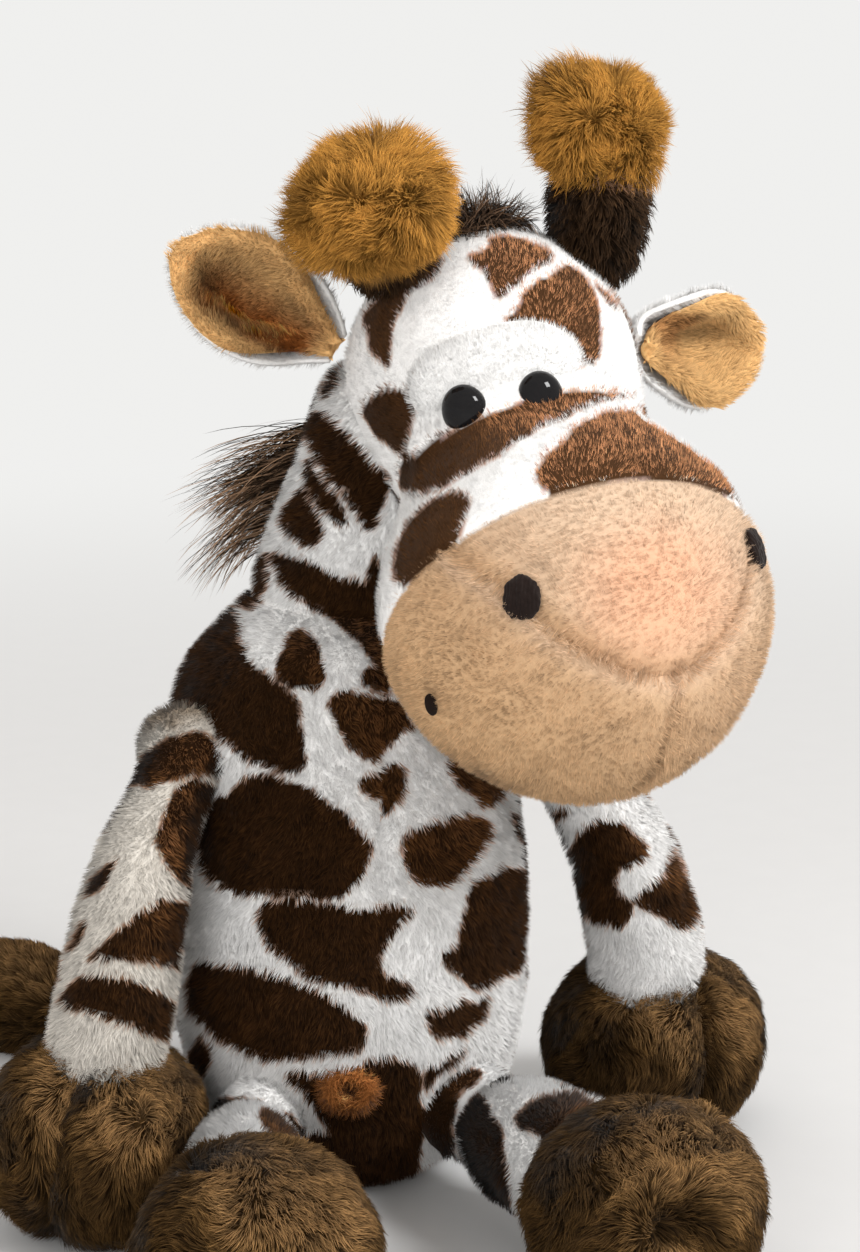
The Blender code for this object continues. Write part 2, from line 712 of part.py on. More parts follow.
def make_tail():
    root = torso_surface(TAIL_ROOT_HEIGHT, TAIL_TURN)
    tuft_centre = Vector((TAIL_TUFT_AT[0], TAIL_TUFT_AT[1], TAIL_TUFT_RADIUS - PRESS_DEPTH))
    heading = level_heading(root, tuft_centre)
    tuft = []
    for share, girth in HOOF_SHARES:
        radius = girth * TAIL_TUFT_RADIUS
        tuft.append(station(tuft_centre + heading * (share * TAIL_TUFT_HALF_LENGTH), radius, radius))
    path = bowed_path(root, tuft_centre, TAIL_BOW)
    rows = []
    first = (path[1] - path[0]).normalized()
    for share, girth in ROOT_SHARES:
        rows.append(station(path[0] + first * (share * TAIL_RADIUS), girth * TAIL_RADIUS, girth * TAIL_RADIUS))
    for share, girth in TAIL_SHARES:
        rows.append(station(path_point(path, share), girth * TAIL_RADIUS, girth * TAIL_RADIUS))
    lateral = heading.cross(UP)
    tuft_piece = form("tail_tuft", tuft, lateral, "brown", SIDES_SMALL, root)
    cut(tuft_piece, FLOOR)
    tuft_cut = form_cutter("tail_tuft_cutter", grown(tuft, SEWN_GAP), lateral)
    sleeve = cover_form("tail_sleeve", rows, lateral, "coat", SIDES_SMALL, root)
    filling = filling_form("tail_filling", rows, lateral, "stuffing", SIDES_SMALL, root)
    for piece in (sleeve, filling):
        cut(piece, tuft_cut)
    return {"centre": root, "radius": TAIL_RADIUS}


def make_torso(sockets):
    cover = form("torso_cover", TORSO, SIDEWAYS, "coat", SIDES_LARGE)
    hollow_out(cover, TORSO, SIDEWAYS, SIDES_LARGE, half_space("seat_wall", UP * COVER_WALL, -UP))
    filling = filling_form("torso_filling", TORSO, SIDEWAYS, "stuffing", SIDES_LARGE)
    pouch = filling_form("seat_pellet_pouch", TORSO, SIDEWAYS, "pouch", SIDES_LARGE)
    cut(cover, FLOOR)
    cut(cover, ball_cutter("torso_neck_hole", TORSO_TOP, COVER_HOLE_RADIUS))
    cut(filling, half_space("pouch_room", (0, 0, SEAT_POUCH_HEIGHT + SEWN_GAP), -UP))
    cut(pouch, half_space("pouch_top", (0, 0, SEAT_POUCH_HEIGHT), UP))
    cut(pouch, half_space("pouch_bottom", UP * (COVER_WALL + FILL_GAP), -UP))
    for number, socket in enumerate(sockets):
        hollow = ball_cutter("socket_%d" % number, socket["centre"], socket["radius"] + SOCKET_GAP)
        for piece in (cover, filling):
            cut(piece, hollow)
    make_navel()


def make_navel():
    at = torso_surface(NAVEL_HEIGHT, NAVEL_TURN)
    outward = polar(NAVEL_TURN)
    turn = outward.to_track_quat("Z", "Y").to_matrix().to_4x4()
    bpy.ops.mesh.primitive_torus_add(major_segments=NAVEL_SEGMENTS[0], minor_segments=NAVEL_SEGMENTS[1],
                                     major_radius=NAVEL_RADIUS, minor_radius=NAVEL_THREAD)
    ring = bpy.context.object
    ring.name = "navel_ring"
    ring.data.name = "navel_ring"
    ring.data.transform(turn)
    ring.location = at
    ring.data.materials.append(MATERIALS["navel"])
    ring.data.shade_smooth()
    for group in list(ring.users_collection):
        group.objects.unlink(ring)
    PARTS.objects.link(ring)
    cut(ring, torso_cutter("navel_bed"))


def make_neck():
    cover = form("neck_cover", NECK, SIDEWAYS, "coat", SIDES_MEDIUM, NECK_PIVOT)
    filling = filling_form("neck_filling", NECK, SIDEWAYS, "stuffing", SIDES_MEDIUM, NECK_PIVOT)
    for piece in (cover, filling):
        cut(piece, NECK_SHOULDERS)
        for cutter in TURNED_HEADS:
            cut(piece, cutter)
    hollow_out(cover, NECK, SIDEWAYS, SIDES_MEDIUM)


# Head

def wedge_mesh(name, apex, spine, edges, reach):
    """A solid wedge: its edge runs along the spine direction and its sides open towards two edges."""
    mesh = bpy.data.meshes.new(name)
    work = bmesh.new()
    back = [work.verts.new(apex - spine * reach)]
    front = [work.verts.new(apex + spine * reach)]
    for edge in edges:
        back.append(work.verts.new(apex - spine * reach + edge * reach))
        front.append(work.verts.new(apex + spine * reach + edge * reach))
    work.faces.new(back)
    work.faces.new(list(reversed(front)))
    for index in range(3):
        nxt = (index + 1) % 3
        work.faces.new((back[nxt], back[index], front[index], front[nxt]))
    bmesh.ops.recalc_face_normals(work, faces=work.faces)
    work.to_mesh(mesh)
    work.free()
    return mesh


def snout_panels(seam_plane_point, seam_normal):
    """Three tan panels that meet at the mouth: the nose between two darts, and the chin in two halves."""
    mouth = towards(MUZZLE_FRAME, 0, -MOUTH_PITCH)
    nostrils = [towards(MUZZLE_FRAME, sign * NOSTRIL_SPREAD, NOSTRIL_RISE) for sign in (-1, 1)]
    flat = [(way - mouth * way.dot(mouth)).normalized() for way in nostrils]
    down = -(MUZZLE_FRAME[2] - mouth * MUZZLE_FRAME[2].dot(mouth)).normalized()
    behind = half_space("snout_back", seam_plane_point + seam_normal * SEAM_HALF_GAP, -seam_normal)
    panels = []
    for name, edges in (("snout_upper_panel", (flat[0], flat[1])),
                        ("chin_panel_r", (down, flat[0])),
                        ("chin_panel_l", (down, flat[1]))):
        panel = cover_form(name, HEAD, MUZZLE_FRAME[1], "tan", SIDES_LARGE, HEAD_PIVOT)
        middle = (edges[0] + edges[1]).normalized()
        half_sine = math.sin(edges[0].angle(edges[1]) / 2)
        apex = MUZZLE + middle * (SEAM_HALF_GAP / half_sine)
        wedge = wedge_mesh(name + "_wedge", apex, mouth, edges, 2 * OVERRUN)
        cut(panel, as_cutter(place(wedge, name + "_wedge", None, None, CUTTERS)), "INTERSECT")
        cut(panel, behind)
        panels.append(panel)
    return panels


def squashed_ball(name, centre, turn, sizes, segments, material, pivot, group=PARTS):
    mesh = bpy.data.meshes.new(name)
    work = bmesh.new()
    bmesh.ops.create_uvsphere(work, u_segments=segments, v_segments=segments // 2, radius=1)
    bmesh.ops.scale(work, verts=work.verts, vec=Vector(sizes))
    bmesh.ops.transform(work, verts=work.verts, matrix=Matrix.Translation(centre) @ turn)
    work.to_mesh(mesh)
    work.free()
    mesh.shade_smooth()
    return place(mesh, name, material, pivot, group)


def outward_turn(direction, up):
    """Rotation that points local Z along the direction and local X level with the face."""
    across = up.cross(direction).normalized()
    upright = direction.cross(across).normalized()
    return Matrix((across, upright, direction)).transposed().to_4x4()


def make_eye(side, direction, holders):
    """A glossy dome on a shank, with its washer inside. Every holder gets the room that it needs."""
    turn = outward_turn(direction, FACE_FRAME[2])
    seat = CRANIUM + direction * (CRANIUM_RADIUS + BROW_PROUD)
    sizes = (EYE_RADIUS, EYE_RADIUS, EYE_HALF_DEPTH)
    eye = squashed_ball("eye_" + side, seat, turn, sizes, EYE_SEGMENTS, "eye", HEAD_PIVOT)
    inner_end = seat - direction * EYE_SHANK_LENGTH
    shank = as_cutter(place(rod_mesh("shank_" + side, seat, inner_end, EYE_SHANK_RADIUS), "shank_" + side,
                            None, None, CUTTERS))
    cut(eye, shank, "UNION")
    room_sizes = [size + SEWN_GAP for size in sizes]
    room_name = "eye_room_" + side
    room = as_cutter(squashed_ball(room_name, seat, turn, room_sizes, EYE_SEGMENTS, None, None, CUTTERS))
    shank_room = rod_cutter("shank_room_" + side, seat, inner_end - direction * SEWN_GAP,
                            EYE_SHANK_RADIUS + SOCKET_GAP)
    washer_at = seat - direction * (EYE_SHANK_LENGTH - WASHER_THICKNESS)
    washer_end = washer_at - direction * WASHER_THICKNESS
    washer_mesh = rod_mesh("eye_washer_" + side, washer_at, washer_end, WASHER_RADIUS)
    washer = place(washer_mesh, "eye_washer_" + side, "washer", HEAD_PIVOT)
    cut(washer, shank_room)
    washer_room = rod_cutter("washer_room_" + side, seat, washer_end - direction * SEWN_GAP,
                             WASHER_RADIUS + SOCKET_GAP)
    for holder in holders["outside"]:
        cut(holder, room)
        cut(holder, shank_room)
    cut(holders["filling"], room)
    cut(holders["filling"], washer_room)


def make_brow(head_bed):
    middle = towards(FACE_FRAME, 0, BROW_RISE)
    turn = outward_turn(middle, FACE_FRAME[2])
    depth = CRANIUM_RADIUS - math.sqrt(CRANIUM_RADIUS ** 2 - BROW_HALF_WIDTH ** 2)
    centre = CRANIUM + middle * (CRANIUM_RADIUS - depth)
    sizes = (BROW_HALF_WIDTH, BROW_HALF_HEIGHT, depth + BROW_PROUD)
    brow = squashed_ball("brow_panel", centre, turn, sizes, BROW_SEGMENTS, "coat", HEAD_PIVOT)
    cut(brow, head_bed)
    return brow


def make_nostrils(head_bed):
    for side, sign in (("r", -1), ("l", 1)):
        way = towards(MUZZLE_FRAME, sign * NOSTRIL_SPREAD, NOSTRIL_RISE)
        turn = outward_turn(way, MUZZLE_FRAME[2])
        at = MUZZLE + way * (MUZZLE_RADIUS - NOSTRIL_PROUD)
        sizes = (NOSTRIL_RADIUS, NOSTRIL_RADIUS, 2 * NOSTRIL_PROUD + SEWN_GAP)
        nostril = squashed_ball("nostril_" + side, at, turn, sizes, CUTTER_SEGMENTS, "thread", HEAD_PIVOT)
        cut(nostril, head_bed)


def make_stitches(head_bed):
    for side, sign in (("r", -1), ("l", 1)):
        way = towards(MUZZLE_FRAME, sign * STITCH_SPREAD, -STITCH_DROP)
        at = MUZZLE + way * (MUZZLE_RADIUS - STITCH_RADIUS)
        along = way.cross(MUZZLE_FRAME[1]).normalized()
        turn = outward_turn(way, along)
        sizes = (STITCH_HALF_WIDTH, STITCH_LENGTH / 2, STITCH_DEPTH)
        stitch = squashed_ball("mouth_stitch_" + side, at, turn, sizes, STITCH_SEGMENTS, "thread", HEAD_PIVOT)
        cut(stitch, head_bed)


def make_horn(side, sign, spread, pitch, lean, splay, holders):
    forward, lateral, up = CRANIUM_FRAME
    level = up * math.cos(pitch) + forward * math.sin(pitch)
    out = level * math.cos(spread) + lateral * math.sin(spread) * sign
    root = CRANIUM + out * (CRANIUM_RADIUS + HORN_PROUD)
    axis = (up * math.cos(lean) + forward * math.sin(lean)) * math.cos(splay) + lateral * sign * math.sin(splay)
    axis.normalize()
    rows = []
    for share, girth in BALL_SHARES[:3]:
        rows.append(station(root + axis * (share * HORN_ROOT_RADIUS), girth * HORN_ROOT_RADIUS,
                            girth * HORN_ROOT_RADIUS))
    for share, girth in HORN_SHARES:
        rows.append(station(root + axis * (share * HORN_LENGTH), girth * HORN_RADIUS, girth * HORN_RADIUS))
    pompom_at = root + axis * (HORN_LENGTH + POMPOM_RADIUS * POMPOM_SINK_SHARE)
    pompom = [station(pompom_at + axis * (share * POMPOM_RADIUS), girth * POMPOM_RADIUS, girth * POMPOM_RADIUS)
              for share, girth in BALL_SHARES]
    form("horn_pompom_" + side, pompom, forward, "golden", SIDES_MEDIUM, root)
    pompom_cut = form_cutter("pompom_cutter_" + side, grown(pompom, SEWN_GAP), forward, SIDES_MEDIUM)
    stalk = cover_form("horn_stalk_" + side, rows, forward, "brown", SIDES_SMALL, root)
    filling = filling_form("horn_filling_" + side, rows, forward, "stuffing", SIDES_SMALL, root)
    for piece in (stalk, filling):
        cut(piece, pompom_cut)
    socket = ball_cutter("horn_socket_" + side, root, HORN_ROOT_RADIUS + SOCKET_GAP)
    for holder in holders:
        cut(holder, socket)


def ear_sheet(name, root, along, across, outward, lift, width_share, material):
    """A cupped leaf: a grid from root to tip whose middle line is sunk, thickened by its cloth."""
    mesh = bpy.data.meshes.new(name)
    work = bmesh.new()
    grid = []
    for share, girth in EAR_SHARES:
        row = []
        for side in EAR_COLUMNS:
            sink = EAR_CUP * ((side * width_share) ** 2 - EAR_SINK_SHARE) * min(girth * EAR_CUP_SHARE, 1)
            point = root + along * (share * EAR_LENGTH) + across * (side * girth * width_share * EAR_HALF_WIDTH)
            row.append(work.verts.new(point + outward * (sink + lift)))
        grid.append(row)
    for low, high in zip(grid, grid[1:]):
        for index in range(len(EAR_COLUMNS) - 1):
            work.faces.new((low[index], low[index + 1], high[index + 1], high[index]))
    bmesh.ops.recalc_face_normals(work, faces=work.faces)
    work.faces.ensure_lookup_table()
    if work.faces[0].normal.dot(outward) < 0:
        bmesh.ops.reverse_faces(work, faces=work.faces)
    work.to_mesh(mesh)
    work.free()
    mesh.shade_smooth()
    obj = place(mesh, name, material, root)
    subdivide(obj)
    return obj


def make_ear(side, sign, latitude, rise, sweep, holders):
    forward, lateral, up = CRANIUM_FRAME
    level = lateral * sign * math.cos(EAR_SETBACK) - forward * math.sin(EAR_SETBACK)
    root = CRANIUM + (level * math.cos(latitude) + up * math.sin(latitude)) * CRANIUM_RADIUS
    level = lateral * sign * math.cos(sweep) - forward * math.sin(sweep)
    along = (level * math.cos(rise) + up * math.sin(rise)).normalized()
    outward = (forward - along * forward.dot(along)).normalized()
    across = along.cross(outward).normalized()
    back = ear_sheet("ear_back_" + side, root, along, across, outward, 0.0, 1.0, "coat")
    shell(back, EAR_WALL)
    knot = as_cutter(squashed_ball("ear_knot_" + side, root, Matrix.Identity(4), [EAR_ROOT_RADIUS] * 3,
                                   CUTTER_SEGMENTS, None, None, CUTTERS))
    cut(back, knot, "UNION")
    lift = (EAR_WALL + SEWN_GAP) * EAR_LIFT_SHARE
    lining = ear_sheet("ear_lining_" + side, root, along, across, outward, lift, EAR_LINING_SHARE, "lining")
    shell(lining, EAR_WALL)
    knot_room = ball_cutter("ear_socket_" + side, root, EAR_ROOT_RADIUS + SOCKET_GAP)
    cut(lining, knot_room)
    for holder in holders:
        cut(holder, knot_room)


def make_crest(head_bed):
    """The tuft between the horns, and the strip of mane behind it down to the nape."""
    forward, lateral, up = CRANIUM_FRAME
    top = CRANIUM + up * CRANIUM_RADIUS
    turn = outward_turn(up, -forward)
    sizes = (FORELOCK_HALF_WIDTH, FORELOCK_HEIGHT, FORELOCK_HEIGHT)
    forelock = squashed_ball("forelock", top, turn, sizes, CUTTER_SEGMENTS, "brown", HEAD_PIVOT)
    cut(forelock, head_bed)
    rows = []
    for degrees in CREST_ANGLES:
        angle = math.radians(degrees)
        way = forward * math.cos(angle) + up * math.sin(angle)
        rows.append(station(CRANIUM + way * CRANIUM_RADIUS, CREST_HALF_WIDTH, CREST_HEIGHT))
    rows.insert(0, station(rows[0]["at"] - tangent(rows, 0) * CREST_HALF_WIDTH, 0, 0))
    rows.append(station(rows[-1]["at"] + tangent(rows, len(rows) - 1) * CREST_HALF_WIDTH, 0, 0))
    crest = form("mane_crest", rows, lateral, "brown", SIDES_SMALL, HEAD_PIVOT)
    cut(crest, head_bed)
    cut(crest, form_cutter("crest_clear", grown(NECK, NECK_GAP), SIDEWAYS, SIDES_MEDIUM))


def make_mane():
    """A flat lock of hair that stands on the back of the neck and droops to the giraffe's right."""
    away = polar(MANE_TURN)
    rows = []
    for share, reach in MANE_SHARES:
        foot = NECK_ROOT.lerp(NECK_TOP, MANE_START + share * (MANE_END - MANE_START))
        middle = foot + away * (NECK_RADIUS + reach * MANE_REACH / 2) - UP * (MANE_DROOP * reach / 2)
        rows.append(station(middle, reach * MANE_REACH / 2 + MANE_THICKNESS, MANE_THICKNESS * MANE_FLATNESS))
    rows.insert(0, station(rows[0]["at"] - NECK_AXIS * MANE_THICKNESS, 0, 0))
    rows.append(station(rows[-1]["at"] + NECK_AXIS * MANE_THICKNESS, 0, 0))
    mane = form("mane", rows, away, "brown", SIDES_SMALL, NECK_PIVOT)
    cut(mane, form_cutter("mane_bed", grown(NECK, SEWN_GAP), SIDEWAYS, SIDES_MEDIUM))
    for cutter in TURNED_HEADS:
        cut(mane, cutter)


def make_head():
    seam_normal = towards(MUZZLE_FRAME, SNOUT_SEAM_TURN, -SNOUT_SEAM_PITCH)
    seam_point = MUZZLE - seam_normal * SNOUT_SEAM_SETBACK
    cover = cover_form("head_cover", HEAD, MUZZLE_FRAME[1], "coat", SIDES_LARGE, HEAD_PIVOT)
    cut(cover, half_space("snout_front", seam_point - seam_normal * SEAM_HALF_GAP, seam_normal))
    filling = filling_form("head_filling", HEAD, MUZZLE_FRAME[1], "stuffing", SIDES_LARGE, HEAD_PIVOT)
    snout_panels(seam_point, seam_normal)
    head_bed = head_cutter("head_bed")
    brow = make_brow(head_bed)
    for side, sign in (("r", -1), ("l", 1)):
        way = towards(FACE_FRAME, sign * EYE_SPREAD, -EYE_DROP)
        make_eye(side, way, {"outside": (brow, cover), "filling": filling})
    make_nostrils(head_bed)
    make_stitches(head_bed)
    make_crest(head_bed)
    make_horn("r", -1, HORN_SPREAD_R, HORN_PITCH_R, HORN_LEAN_R, HORN_SPLAY_R, (cover, filling))
    make_horn("l", 1, HORN_SPREAD_L, HORN_PITCH_L, HORN_LEAN_L, HORN_SPLAY_L, (cover, filling))
    make_ear("r", -1, EAR_LATITUDE_R, EAR_RISE_R, EAR_SWEEP_R, (cover, filling))
    make_ear("l", 1, EAR_LATITUDE_L, EAR_RISE_L, EAR_SWEEP_L, (cover, filling))


limb_sockets = make_limbs()
limb_sockets.append(make_tail())
make_torso(limb_sockets)
make_neck()
make_mane()
make_head()
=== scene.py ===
"""A seated plush giraffe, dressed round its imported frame. Metres, +Z up, it faces -Y.

Each form is a smooth skin over the same rows of stations as its solid, with a pile of real
strands grown on it.
"""
import json
import math

import bpy
import numpy as np
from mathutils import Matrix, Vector

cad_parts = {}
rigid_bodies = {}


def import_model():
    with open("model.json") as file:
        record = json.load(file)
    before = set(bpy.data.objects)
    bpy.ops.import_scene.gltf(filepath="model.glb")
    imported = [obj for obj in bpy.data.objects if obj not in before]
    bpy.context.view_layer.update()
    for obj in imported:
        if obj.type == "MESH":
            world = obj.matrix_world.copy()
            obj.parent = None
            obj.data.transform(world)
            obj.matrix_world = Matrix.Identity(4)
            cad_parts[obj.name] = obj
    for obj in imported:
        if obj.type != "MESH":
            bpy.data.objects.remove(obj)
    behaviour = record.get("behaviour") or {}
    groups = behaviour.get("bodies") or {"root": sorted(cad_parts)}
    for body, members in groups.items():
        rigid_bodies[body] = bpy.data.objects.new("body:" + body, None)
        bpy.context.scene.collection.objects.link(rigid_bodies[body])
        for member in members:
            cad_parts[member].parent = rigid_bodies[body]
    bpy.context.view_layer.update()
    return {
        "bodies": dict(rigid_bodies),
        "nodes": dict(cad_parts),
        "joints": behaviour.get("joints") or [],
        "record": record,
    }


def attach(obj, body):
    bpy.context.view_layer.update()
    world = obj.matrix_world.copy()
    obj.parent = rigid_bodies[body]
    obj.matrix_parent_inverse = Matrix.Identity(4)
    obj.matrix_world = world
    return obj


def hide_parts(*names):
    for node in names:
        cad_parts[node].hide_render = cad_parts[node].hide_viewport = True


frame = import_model()

SEWN_GAP = 0.0004
PRESS_DEPTH = 0.0005

# Torso: a pear that sits on its seat
TORSO_HEIGHT = 0.196
TORSO_HALF_WIDTH = 0.056
TORSO_HALF_DEPTH = 0.052

# Neck: leans to the giraffe's left and carries the head
NECK_RADIUS = 0.030
NECK_DOME_RADIUS = 0.0365    # the torso ends in a dome that the neck bends over
NECK_OVERLAP = 0.018         # how far the neck's cage starts below the torso's top
NECK_LEAN = 0.024            # sideways, towards +X
NECK_RISE = 0.056
NECK_SET_BACK = 0.003        # the neck's root behind the torso's middle

# Head: a round cranium joined to a larger muzzle
CRANIUM_RADIUS = 0.046
CRANIUM_SIDE = 0.025         # from the neck's top to the cranium's middle
CRANIUM_FORWARD = 0.014
CRANIUM_RISE = 0.025
CRANIUM_YAW = math.radians(3)
CRANIUM_ROLL = math.radians(6)
MUZZLE_RADIUS = 0.0590
MUZZLE_SIDE = 0.0240         # from the cranium's middle to the muzzle's
MUZZLE_FORWARD = 0.051
MUZZLE_DROP = 0.0640
MUZZLE_YAW = math.radians(28)
MUZZLE_ROLL = math.radians(5.5)
WAIST_RADIUS = 0.0375        # the crease between cranium and muzzle
SNOUT_SEAM_PITCH = math.radians(43)
SNOUT_SEAM_TURN = math.radians(-11)
SNOUT_SEAM_SETBACK = 0.004   # the seam's plane behind the muzzle's middle
MOUTH_PITCH = math.radians(10)

# Face
FACE_YAW = math.radians(2)
FACE_ROLL = math.radians(14)
EYE_RADIUS = 0.0065
EYE_HALF_DEPTH = 0.0046
EYE_SPREAD = math.radians(13)
EYE_DROP = math.radians(3)
BROW_HALF_WIDTH = 0.026
BROW_HALF_HEIGHT = 0.0185
BROW_PROUD = 0.0035
BROW_RISE = math.radians(4)
NOSTRIL_RADIUS = 0.0058
NOSTRIL_PROUD = 0.0011
NOSTRIL_SPREAD = math.radians(45)
NOSTRIL_RISE = math.radians(18)
STITCH_RADIUS = 0.0007
STITCH_DEPTH = 0.0021
STITCH_LENGTH = 0.007
STITCH_SPREAD = math.radians(80)
STITCH_DROP = math.radians(21)

# Horns
HORN_SPREAD_R = math.radians(33)
HORN_SPREAD_L = math.radians(46)
HORN_PITCH_R = math.radians(16)
HORN_PITCH_L = math.radians(0)
HORN_ROOT_RADIUS = 0.0105
HORN_PROUD = 0.0038          # how far a horn's root ball stands out from the head
HORN_RADIUS = 0.0125
HORN_LENGTH = 0.021
POMPOM_RADIUS = 0.0205
HORN_LEAN_R = math.radians(52)    # the right horn leans towards the front
HORN_LEAN_L = math.radians(1)
HORN_SPLAY_R = math.radians(10)
HORN_SPLAY_L = math.radians(9)

# Ears
EAR_LENGTH = 0.058
EAR_HALF_WIDTH = 0.0200
EAR_CUP = 0.009
EAR_SINK_SHARE = 0.5
EAR_CUP_SHARE = 1.3
EAR_LINING_SHARE = 0.93      # the lining's width, of the back's
EAR_LIFT_SHARE = 1.5         # keeps the lining clear of the back where the cup is steep
EAR_WALL = 0.0016
EAR_RISE_R = math.radians(39)
EAR_RISE_L = math.radians(-8)
EAR_SWEEP_R = math.radians(-10)
EAR_SWEEP_L = math.radians(46)
EAR_LATITUDE_R = math.radians(13)
EAR_LATITUDE_L = math.radians(1)
EAR_SETBACK = math.radians(6)

# Hair
MANE_START = 0.38            # shares of the neck's length
MANE_END = 1.12
MANE_TURN = math.radians(165)

# Arms
ARM_RADIUS = 0.018
ARM_ROOT_RADIUS = 0.0125
SHOULDER_HEIGHT = 0.142
SHOULDER_TURN_R = math.radians(209)   # from +X, anticlockwise seen from above
SHOULDER_TURN_L = math.radians(4)
ROOT_PROUD = 0.0035          # how far a limb's root ball stands out from the torso
FRONT_HOOF_AT_R = (-0.0815, -0.050)
FRONT_HOOF_AT_L = (0.0975, 0.034)
ARM_BOW_R = (-0.0055, -0.023)         # how far the arm bows from a straight line, x and y
ARM_BOW_L = (0.021, -0.003)
FRONT_HOOF_HALF_WIDTH = 0.0335
FRONT_HOOF_HALF_LENGTH = 0.0360
FRONT_HOOF_HEIGHT = 0.060

# Legs
LEG_RADIUS = 0.0190
LEG_ROOT_RADIUS = 0.0140
HIP_HEIGHT = 0.030
HIP_TURN_R = math.radians(242)
HIP_TURN_L = math.radians(-44)
HIND_HOOF_AT_R = (-0.026, -0.136)
HIND_HOOF_AT_L = (0.084, -0.106)
LEG_BOW_R = (-0.004, 0.0)
LEG_BOW_L = (-0.003, 0.004)
HIND_HOOF_HALF_WIDTH = 0.0345
HIND_HOOF_HALF_LENGTH = 0.0345
HIND_HOOF_HEIGHT = 0.061

# Tail
TAIL_RADIUS = 0.0075
TAIL_ROOT_HEIGHT = 0.028
TAIL_TURN = math.radians(104)
TAIL_TUFT_AT = (-0.128, 0.112)
TAIL_TUFT_HALF_LENGTH = 0.030
TAIL_TUFT_RADIUS = 0.0165
TAIL_BOW = (-0.006, 0.014)

# Navel
NAVEL_RADIUS = 0.0062
NAVEL_THREAD = 0.0026
NAVEL_HEIGHT = 0.043
NAVEL_TURN = math.radians(-88)


UP = Vector((0.0, 0.0, 1.0))
SIDEWAYS = Vector((1.0, 0.0, 0.0))
FORWARD = Vector((0.0, -1.0, 0.0))

# Rows of shares: height along the torso, then the middle's x and y and the half width and depth
TORSO_SHARES = (
    (0.000, -0.10, 0.22, 0.00, 0.00),
    (0.000, -0.10, 0.22, 0.54, 0.52),
    (0.060, -0.10, 0.14, 0.82, 0.76),
    (0.200, -0.09, 0.02, 0.98, 0.95),
    (0.430, -0.06, -0.02, 1.03, 1.03),
    (0.620, -0.07, 0.02, 0.98, 0.95),
    (0.770, -0.12, 0.09, 0.87, 0.85),
    (0.870, -0.18, 0.14, 0.73, 0.73),
)
DOME_ANGLES = (60, 36, 12, 0)         # degrees from the top, down to where the dome meets the shoulders
DOME_MIDDLE_SHARES = (-0.15, 0.18)    # the dome's middle, of the torso's half width and depth
# Rows of shares for the neck and a limb: along it, and its girth
NECK_SHARES = ((-0.12, 0.0), (-0.12, 0.98), (0.25, 1.02), (0.6, 1.03), (1.0, 1.10), (1.3, 1.10), (1.3, 0.0))
LIMB_SHARES = ((0.25, 0.69), (0.56, 1.0), (1.00, 1.06))
ROOT_SHARES = ((-1.05, 0.0), (-0.80, 0.76), (0.0, 1.05), (0.80, 0.54))    # the ball at a limb's root
PATH_STEPS = 12
BOW_SHARE = 0.5              # power that moves a limb's widest bow towards its root
BALL_SHARES = ((-1.05, 0.0), (-0.80, 0.78), (0.0, 1.11), (0.80, 0.78), (1.05, 0.0))
HEAD_SHARES = ((-1.0, 0.0), (-0.88, 0.47), (-0.48, 0.87), (0.0, 1.0), (0.48, 0.87), (0.88, 0.47), (1.0, 0.0))
HOOF_SHARES = ((-1.0, 0.0), (-0.86, 0.74), (0.0, 1.16), (0.86, 0.78), (1.0, 0.0))
EAR_SHARES = ((0.04, 0.22), (0.24, 0.70), (0.60, 1.04), (0.92, 0.62), (1.02, 0.16))
TAIL_SHARES = ((0.4, 1.0), (0.8, 1.0), (0.95, 0.0))
HORN_SHARES = ((0.78, 0.98), (1.0, 0.95), (1.15, 0.0))
EAR_COLUMNS = (-1, -0.4, 0.4, 1)
WAIST_SHARES = (0.64, 0.89)           # above the crease: of the way to it, and of the cranium's radius
MUZZLE_BACK_SHARES = (-0.70, -0.42)   # rows of the muzzle below the crease, of its radius
POMPOM_SINK_SHARE = 0.55              # the pompom's middle past its stalk's end, of its radius
STEEP = math.cos(math.radians(45))    # past this a limb's cross rows are set by the sideways direction
MANE_SHARES = ((0.0, 0.25), (0.2, 0.8), (0.45, 1.0), (0.7, 0.9), (0.9, 0.6), (1.0, 0.2))


def station(centre, half_width, half_depth):
    return {"at": Vector(centre), "wide": half_width, "deep": half_depth}


def tangent(stations, index):
    before = stations[max(index - 1, 0)]["at"]
    after = stations[min(index + 1, len(stations) - 1)]["at"]
    step = after - before
    if step.length == 0:
        step = stations[-1]["at"] - stations[0]["at"]
    return step.normalized()


def smoothing_loss(step):
    """By how much a circle's cage, with points one step apart, has to exceed the smooth circle."""
    return 3 / (2 + math.cos(step))


def polar(azimuth, elevation=0.0):
    """A direction: azimuth from +X anticlockwise seen from above, elevation up from level."""
    flat = math.cos(elevation)
    return Vector((math.cos(azimuth) * flat, math.sin(azimuth) * flat, math.sin(elevation)))


def facing_frame(yaw, roll):
    """Forward, lateral (the giraffe's left) and up for a head part that is turned and tilted."""
    forward = Vector((math.sin(yaw), -math.cos(yaw), 0))
    level = Vector((math.cos(yaw), math.sin(yaw), 0))
    lateral = level * math.cos(roll) + UP * math.sin(roll)
    up = UP * math.cos(roll) - level * math.sin(roll)
    return forward, lateral, up


def towards(frame, spread, rise):
    """A direction on a head part: spread to its left, rise above level."""
    forward, lateral, up = frame
    level = forward * math.cos(spread) + lateral * math.sin(spread)
    return level * math.cos(rise) + up * math.sin(rise)


